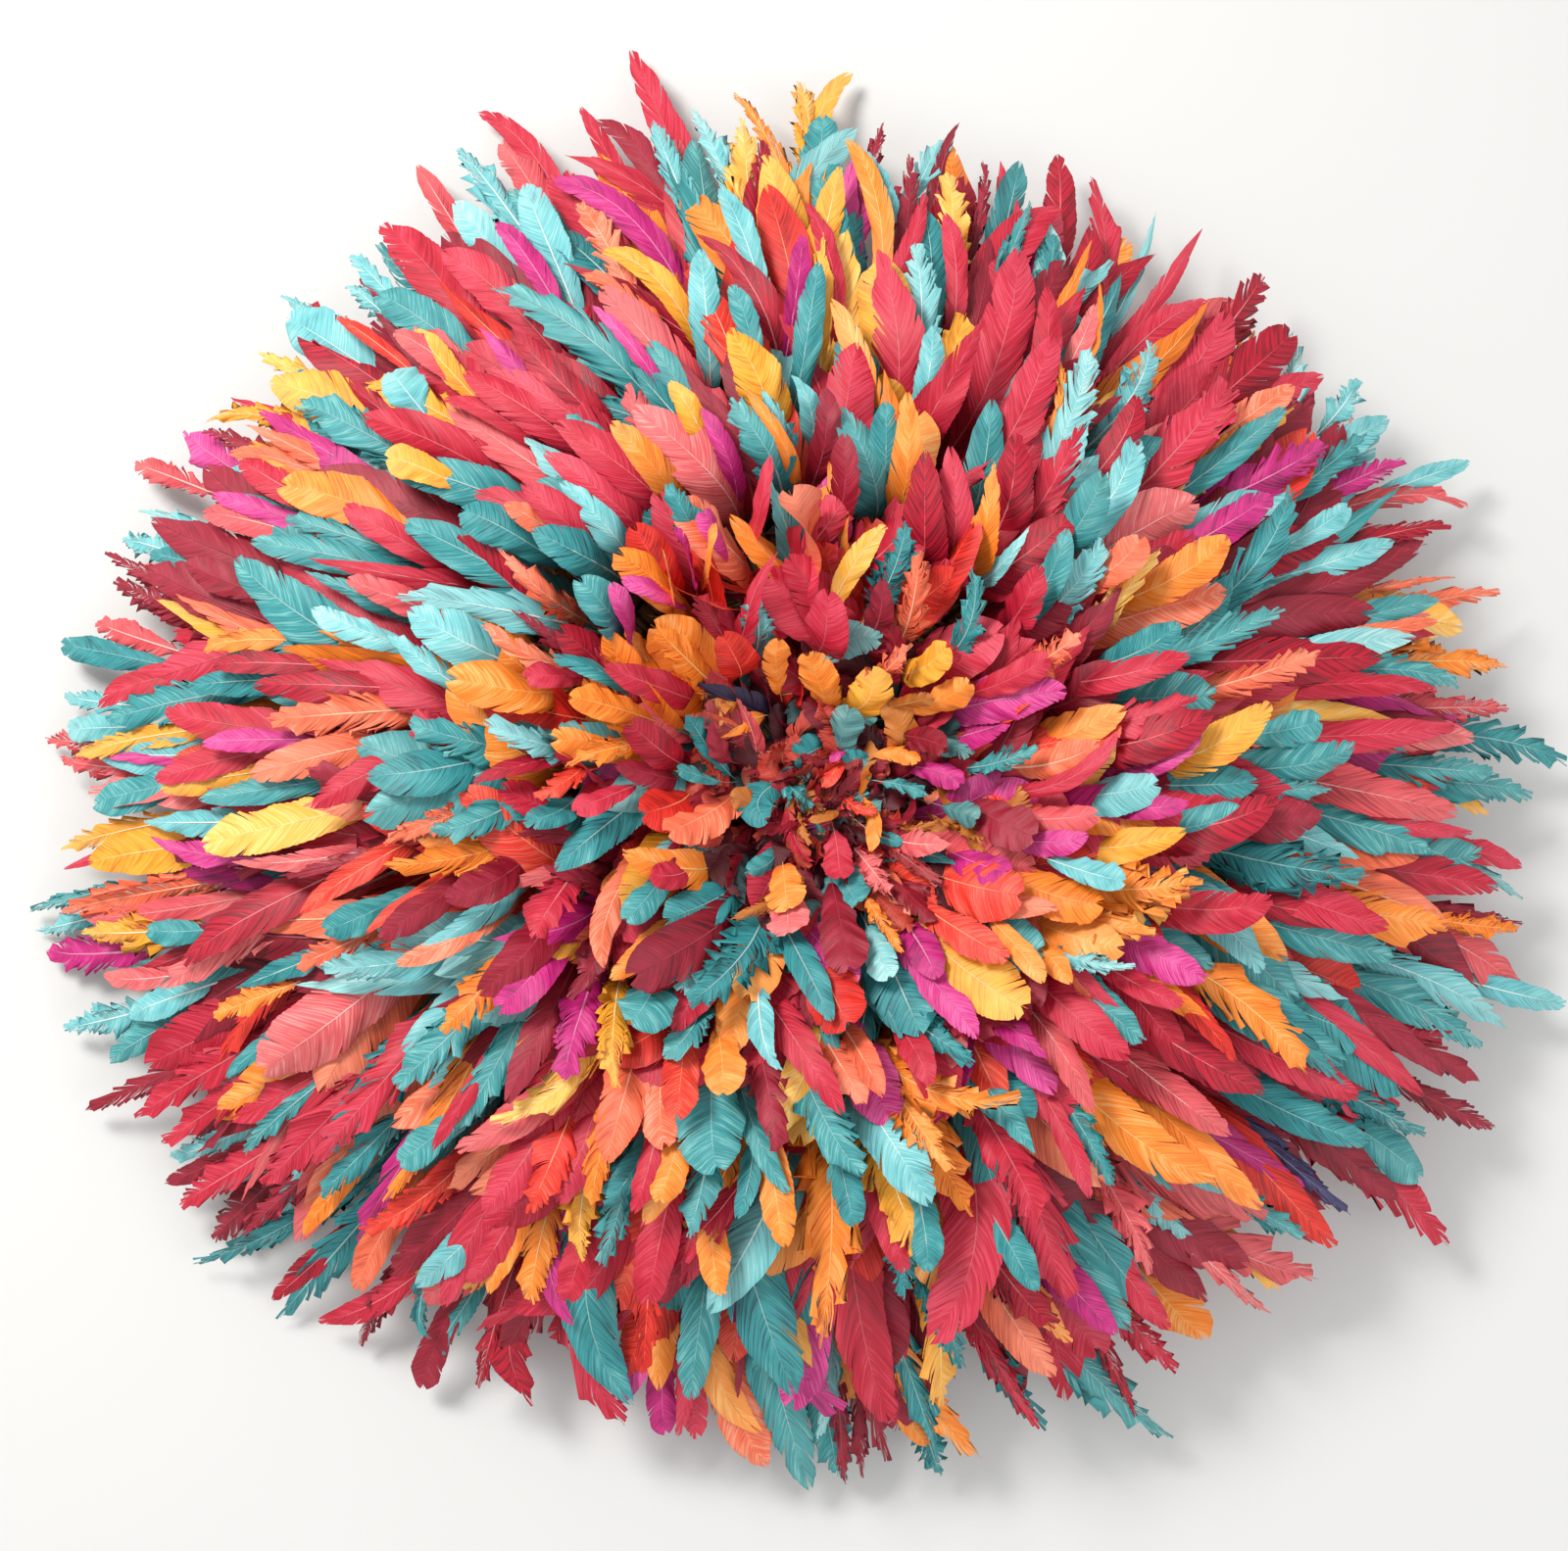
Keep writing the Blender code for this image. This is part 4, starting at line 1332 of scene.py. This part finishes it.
def top_feathers(patches, luck):
    """The feathers that lie on top, by row: the charted ones and those between."""
    tip, start, width, bend = chart_placed()
    charted = len(tip)
    free = scatter_tips(tip, start, luck)
    spot = np.array([place for place, _ in free])
    turn = np.array([turned for _, turned in free])
    rows = [row_of(math.hypot(*place)) for place in np.concatenate([tip, spot])]
    zones = [row.zone for row in rows]
    in_middle = np.array(zones) == MIDDLE
    vane = np.array([row.vane for row in rows[charted:]])
    vane = vane * luck.uniform(*TOP_SPREAD.vane, len(free))
    start = np.concatenate([start, spot - vane[:, None] * directions(turn)])
    tip = np.concatenate([tip, spot])
    count = len(tip)
    slim = luck.uniform(*TOP_SPREAD.width, len(free))
    width = np.concatenate([width, slim * [row.width for row in rows[charted:]]])
    wild = np.where(in_middle, TUMBLE, 1.0)
    bend = np.concatenate([bend, luck.normal(0, FREE_BEND_SPREAD, len(free))])
    bend = bend + wild * luck.normal(0, BEND_SPREAD, count)
    seen = np.linalg.norm(start - tip, axis=1)
    vane = np.concatenate([HIDDEN_VANE * seen[:charted], vane])
    depth = stack_levels(tip, start, width, charted)
    roll = wild * luck.normal(0, TOP_SPREAD.roll, count)
    twist = wild * luck.normal(0, TOP_SPREAD.twist, count)
    kinds = pick_kinds(zones, luck, [feather.kind for feather in CHARTED])
    width[charted:] *= measure(kinds, "wide")[charted:]
    dyes = np.array([DYE_NAMES.index(feather.dye) for feather in CHARTED])
    dyes = np.concatenate([dyes, pick_dyes(zones[charted:], spot, patches, luck)])
    # The middle's top feathers may take the variant with half the painted shade
    shade = np.where(in_middle, luck.integers(HALF_SHADE_VARIANT, TUFT_VARIANT_END, count),
                     luck.integers(OPEN_VARIANT, VARIANTS, count))
    cells = dyes * VARIANTS + shade
    by_row = []
    for row in ROWS:
        own = np.array([mine is row for mine in rows])
        share = np.where(np.arange(count) < charted, CHARTED_SINK, 1.0)[own]
        points = arches(row, tip[own], start[own], bend[own], depth[own], row.sink * share, luck)
        by_row.append(Plumage(points, *(
            values[own] for values in (roll, twist, vane, width, kinds, cells))))
    return by_row


def fill_feathers(row, patches, luck):
    """The feathers underneath, which show only between those on top."""
    count = row.fill
    number = np.arange(count)
    in_middle = row.zone == MIDDLE
    inner = max(row.tip_from - FILL_INSIDE, FILL_INNER)
    outer = min(row.tip_to, RIM_CLEAR * HAT_RADIUS)
    radius = luck.uniform(inner, outer, count)
    bearing = (number * GOLDEN_SHARE % 1) * math.tau + luck.normal(0, BEARING_SPREAD, count)
    spot = radius[:, None] * directions(bearing)
    turn = bearing + flow(spot) + luck.normal(0, turn_spread(FILL_SPREAD, row.zone), count)
    vane = row.vane * luck.uniform(*FILL_SPREAD.vane, count)
    start = spot - vane[:, None] * directions(turn)
    depth = row.fill_depth * luck.uniform(*FILL_DEPTHS, count)
    shaded = (number < UNDER_SHARE * count) & in_middle
    if in_middle:
        depth = np.where(shaded, UNDER_DEPTH * depth, MIDDLE_DEPTH * depth)
    points = arches(row, spot, start, luck.normal(0, BEND_SPREAD, count), depth, row.sink, luck)
    dyes = pick_dyes([row.zone] * count, spot, patches, luck)
    # The middle's deep fill takes dark dyes and the variant with the most painted shade, and its
    # other fill the one with half as much
    dark = np.array([DYE_NAMES.index(name) for name in UNDER_DYES])
    dyes = np.where(shaded, dark[number % len(dark)], dyes)
    light = luck.integers(OPEN_VARIANT, VARIANTS, count)
    variant = np.where(shaded, FULL_SHADE_VARIANT, HALF_SHADE_VARIANT if in_middle else light)
    wild = TUMBLE if in_middle else 1.0
    roll = wild * luck.normal(0, FILL_SPREAD.roll, count)
    twist = wild * luck.normal(0, FILL_SPREAD.twist, count)
    width = row.width * luck.uniform(*FILL_SPREAD.width, count)
    kinds = pick_kinds([row.zone] * count, luck)
    split = measure(kinds, "split")
    split[:] = np.minimum(FILL_SPLIT * split, SPLIT_MOST)
    return Plumage(points, roll, twist, FILL_VANE * vane, width, kinds, dyes * VARIANTS + variant)


def connect(tree, socket, value):
    """Gives a socket its value, or links it where the value is a socket too."""
    if isinstance(value, bpy.types.NodeSocket):
        tree.links.new(value, socket)
    else:
        socket.default_value = value


def new_node(tree, kind, inputs=None, **settings):
    """A shader node with its settings and its inputs, which may be values or sockets."""
    node = tree.nodes.new(kind)
    for name, value in settings.items():
        setattr(node, name, value)
    for name, value in (inputs or {}).items():
        connect(tree, node.inputs[name], value)
    return node


def math_node(tree, operation, *values):
    """A Math node's result; values may be numbers or sockets."""
    inputs = dict(enumerate(values))
    return new_node(tree, "ShaderNodeMath", inputs, operation=operation).outputs[0]


def mix_color(tree, share, one, two):
    """A colour between two; each may be a colour or a socket."""
    inputs = {"Factor": share, 6: one, 7: two}
    return new_node(tree, "ShaderNodeMix", inputs, data_type="RGBA").outputs[2]


def ramp_node(tree, value, low, high):
    """How far a value is from low to high, clamped to 0 and 1."""
    inputs = {0: value, 1: low, 2: high}
    return new_node(tree, "ShaderNodeMapRange", inputs, interpolation_type="SMOOTHSTEP").outputs[0]


def sums_on(tree):
    """The sums, mixes and ramps that a material needs, on its tree."""
    return (partial(make, tree) for make in (math_node, mix_color, ramp_node))


def new_material(name):
    """A material, its tree and its shader."""
    material = bpy.data.materials.new(name)
    material.use_nodes = True
    return material, material.node_tree, material.node_tree.nodes["Principled BSDF"]


def sheet_spot(tree):
    """Places in the dye sheet."""
    return new_node(tree, "ShaderNodeUVMap", uv_map="OFBake").outputs[0]


def object_spot(tree):
    """Places on an object, in its own space."""
    return new_node(tree, "ShaderNodeTexCoord").outputs["Object"]


def parts_of(tree, spot):
    """The x, y and z of places."""
    return new_node(tree, "ShaderNodeSeparateXYZ", {0: spot}).outputs


def make_feather_material(name, dye):
    """Dyed vane with barb streaks, mottling, pale patches that are partly bleached dye and partly
    painted sheen highlight, darker edges, a root partly darkened with painted shade, a pale shaft,
    and painted shade on the variants for feathers that lie deep.
    """
    material, tree, shader = new_material(name + "_feather")
    calc, mix, ramp = sums_on(tree)
    deep, body, pale, shaft = (linear(color) for color in dye[:4])
    parts = parts_of(tree, sheet_spot(tree))
    wide = calc("MULTIPLY", parts[0], SHEET_COLUMNS)
    tall = calc("MULTIPLY", parts[1], SHEET_ROWS)
    x = calc("FRACT", wide)
    y = calc("FRACT", tall)
    above = calc("MULTIPLY", calc("FLOOR", tall), SHEET_COLUMNS)
    cell = calc("ADD", calc("FLOOR", wide), above)
    seed = calc("MULTIPLY", cell, CELL_SEED)
    from_shaft = calc("ABSOLUTE", calc("SUBTRACT", x, 0.5))
    variant = new_node(tree, "ShaderNodeTexWhiteNoise", {"W": cell}, noise_dimensions="1D")
    variant = variant.outputs[0]

    def noise(grain):
        spot = new_node(tree, "ShaderNodeCombineXYZ", {
            0: calc("MULTIPLY", x, grain.across),
            1: calc("MULTIPLY", y, grain.along),
            2: calc("ADD", seed, grain.shift)}).outputs[0]
        inputs = {"Vector": spot, "Scale": 1.0, "Detail": grain.detail}
        return new_node(tree, "ShaderNodeTexNoise", inputs).outputs[0]

    def own_share(seed):
        return calc("FRACT", calc("MULTIPLY", variant, seed))

    streak = noise(STREAK)
    tone = calc("MULTIPLY", ramp(streak, *STREAK_RANGE), STREAK_SHARE)
    tone = calc("ADD", tone, calc("MULTIPLY", noise(MOTTLE), MOTTLE_SHARE))
    tone = calc("ADD", tone, calc("MULTIPLY", variant, VARIANT_SHARE))
    color = mix(ramp(tone, *BODY_RANGE), deep, body)
    worn = calc("MULTIPLY", ramp(y, *WORN_RANGE), own_share(WORN_SEED))
    # Pale where the tone runs high, partly bleached dye and partly painted sheen highlight, and
    # paler at a worn tip
    light = calc("ADD", ramp(tone, *PALE_RANGE), calc("MULTIPLY", worn, WORN_SHARE))
    color = mix(calc("MULTIPLY", light, PALE_SHARE), color, pale)
    color = mix(calc("MULTIPLY", ramp(from_shaft, *EDGE_RANGE), EDGE_SHADE), color, deep)
    # Darker towards the root: partly the feather's own colour, partly painted shade of the feathers
    # that lie over it
    color = mix(calc("MULTIPLY", ramp(y, *ROOT_RANGE), ROOT_SHADE), color, deep)
    crack = calc("MULTIPLY", ramp(noise(CRACK), *CRACK_RANGE), ramp(from_shaft, *CRACK_SPREAD))
    color = mix(calc("MULTIPLY", crack, CRACK_SHADE), color, deep)
    plain = calc("MULTIPLY", own_share(PLAIN_SEED), PLAIN_SHARE)
    plain = calc("MAXIMUM", plain, ramp(y, *PLAIN_RANGE))
    color = mix(ramp(from_shaft, *SHAFT_RANGE), color, mix(plain, shaft, body))
    # Painted shade: the first variant takes the most and the next half as much, for feathers that
    # lie deep under others
    depth = calc("MODULO", cell, VARIANTS)
    under = calc("MAXIMUM", calc("MULTIPLY_ADD", depth, -PAINTED_SHADE_STEP, PAINTED_SHADE_MOST), 0.0)
    connect(tree, shader.inputs["Base Color"], mix(under, color, linear(PAINTED_SHADE_TONE)))

    gloss = calc("ADD", calc("MULTIPLY", streak, GLOSS_SPREAD), GLOSS_BASE)
    connect(tree, shader.inputs["Roughness"], gloss)
    relief = calc("ADD", streak, calc("MULTIPLY", noise(FINE), FINE_RELIEF))
    bump = new_node(tree, "ShaderNodeBump", {"Height": relief, **FEATHER_BUMP})
    connect(tree, shader.inputs["Normal"], bump.outputs[0])
    for socket, value in FEATHER_SURFACE.items():
        shader.inputs[socket].default_value = value
    shader.inputs["Sheen Tint"].default_value = pale
    return material


def make_raffia_material(name, spot_on, fibres, weave, depth):
    """Straw-coloured raffia with fibres over a weave, and painted shade in the weave's gaps."""
    material, tree, shader = new_material(name)
    calc, mix, ramp = sums_on(tree)
    inputs = {"Vector": spot_on(tree), "Scale": fibres, "Detail": 3.0}
    fibre = new_node(tree, "ShaderNodeTexNoise", inputs).outputs[0]
    pattern = weave(tree)
    # Darker where the weave's pattern is low: painted shade in the gaps between coils and between
    # strands
    tone = calc("MULTIPLY", ramp(fibre, *FIBRE_RANGE), ramp(pattern, *WEAVE_GAP_SHADE_RANGE))
    color = mix(tone, linear(RAFFIA_DARK), linear(RAFFIA_LIGHT))
    connect(tree, shader.inputs["Base Color"], color)
    relief = calc("ADD", pattern, calc("MULTIPLY", fibre, FIBRE_RELIEF))
    inputs = {"Height": relief, "Strength": RAFFIA_BUMP, "Distance": depth}
    bump = new_node(tree, "ShaderNodeBump", inputs)
    connect(tree, shader.inputs["Normal"], bump.outputs[0])
    rough = calc("ADD", calc("MULTIPLY", fibre, RAFFIA_GLOSS[0]), RAFFIA_GLOSS[1])
    connect(tree, shader.inputs["Roughness"], rough)
    return material


def coil_pattern(tree):
    """Coils of raffia round the axis, stitched to each other, as bumps from 0 to 1."""
    calc = partial(math_node, tree)
    parts = parts_of(tree, object_spot(tree))
    flat = new_node(tree, "ShaderNodeCombineXYZ", {0: parts[0], 1: parts[1]}).outputs[0]
    reach = new_node(tree, "ShaderNodeVectorMath", {0: flat}, operation="LENGTH").outputs["Value"]
    coil = calc("DIVIDE", calc("SUBTRACT", reach, parts[2]), COIL_PITCH)
    turn = calc("MULTIPLY", calc("ARCTAN2", parts[1], parts[0]), COIL_STITCHES / math.tau)
    shifted = calc("MULTIPLY_ADD", calc("FLOOR", coil), 0.5, turn)
    ridge = calc("SINE", calc("MULTIPLY", calc("FRACT", coil), math.pi))
    stitch = calc("SINE", calc("MULTIPLY", calc("FRACT", shifted), math.pi))
    return calc("MULTIPLY", ridge, calc("MULTIPLY_ADD", stitch, *STITCH_LIFT))


def binding_pattern(tree):
    """Strands wound round a band."""
    calc = partial(math_node, tree)
    across = parts_of(tree, sheet_spot(tree))[0]
    wound = calc("MULTIPLY", across, SHEET_COLUMNS * BINDING_TURNS * math.tau)
    return calc("MULTIPLY_ADD", calc("SINE", wound), 0.5, 0.5)


def dress_raffia():
    """Gives the cap and the ring their coiled finish."""
    raffia = make_raffia_material(
        "coiled_raffia", object_spot, COIL_FIBRES, coil_pattern, COIL_RELIEF)
    for node in ("head_cap", "raffia_ring"):
        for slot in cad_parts[node].material_slots:
            slot.material = raffia


def make_materials():
    """The dyes' materials and the bands', by name."""
    materials = {name: make_feather_material(name, dye) for name, dye in DYES.items()}
    materials[BINDING] = make_raffia_material(
        BINDING, sheet_spot, BINDING_FIBRES, binding_pattern, BINDING_RELIEF)
    return materials


def make_light(lamp):
    """A soft square light that shines on the hat."""
    data = bpy.data.lights.new(lamp.name, "AREA")
    data.size = lamp.size
    data.energy = lamp.power
    data.color = lamp.color
    light = add_to_scene(lamp.name, data)
    light.location = lamp.place
    aim = Vector(LIGHT_AIM) - Vector(lamp.place)
    light.rotation_euler = aim.to_track_quat("-Z", "Y").to_euler()


def make_studio():
    """A pale floor, a soft key from the photograph's upper left, and a fill."""
    floor = bpy.data.meshes.new("floor")
    corners = ((-1, -1), (1, -1), (1, 1), (-1, 1))
    places = [(x * FLOOR_REACH, y * FLOOR_REACH, 0) for x, y in corners]
    floor.from_pydata(places, [], [(0, 1, 2, 3)])
    sheet = add_to_scene("floor", floor)
    pale, _, shader = new_material("pale_floor")
    shader.inputs["Base Color"].default_value = FLOOR_COLOR
    shader.inputs["Roughness"].default_value = FLOOR_ROUGHNESS
    floor.materials.append(pale)
    for lamp in LAMPS:
        make_light(lamp)
    world = bpy.data.worlds.new("studio")
    bpy.context.scene.world = world
    world.use_nodes = True
    sky = world.node_tree.nodes["Background"]
    sky.inputs["Color"].default_value = (1, 1, 1, 1)
    sky.inputs["Strength"].default_value = SKY_STRENGTH
    bpy.context.scene.view_settings.view_transform = "Standard"


def make_hat():
    """Every row's feathers; each row has a draw of its own, and the top ones share one."""
    materials = make_materials()
    luck = np.random.default_rng(SEED)
    patches = make_patches(luck)
    top = top_feathers(patches, luck)
    for number, row in enumerate(ROWS):
        luck = np.random.default_rng(SEED + 1 + number)
        fill = fill_feathers(row, patches, luck)
        make_row(row, by_length(top[number]) + [(fill, FILL_BARBS)], materials, luck)


make_camera()
make_studio()
dress_raffia()
make_hat()
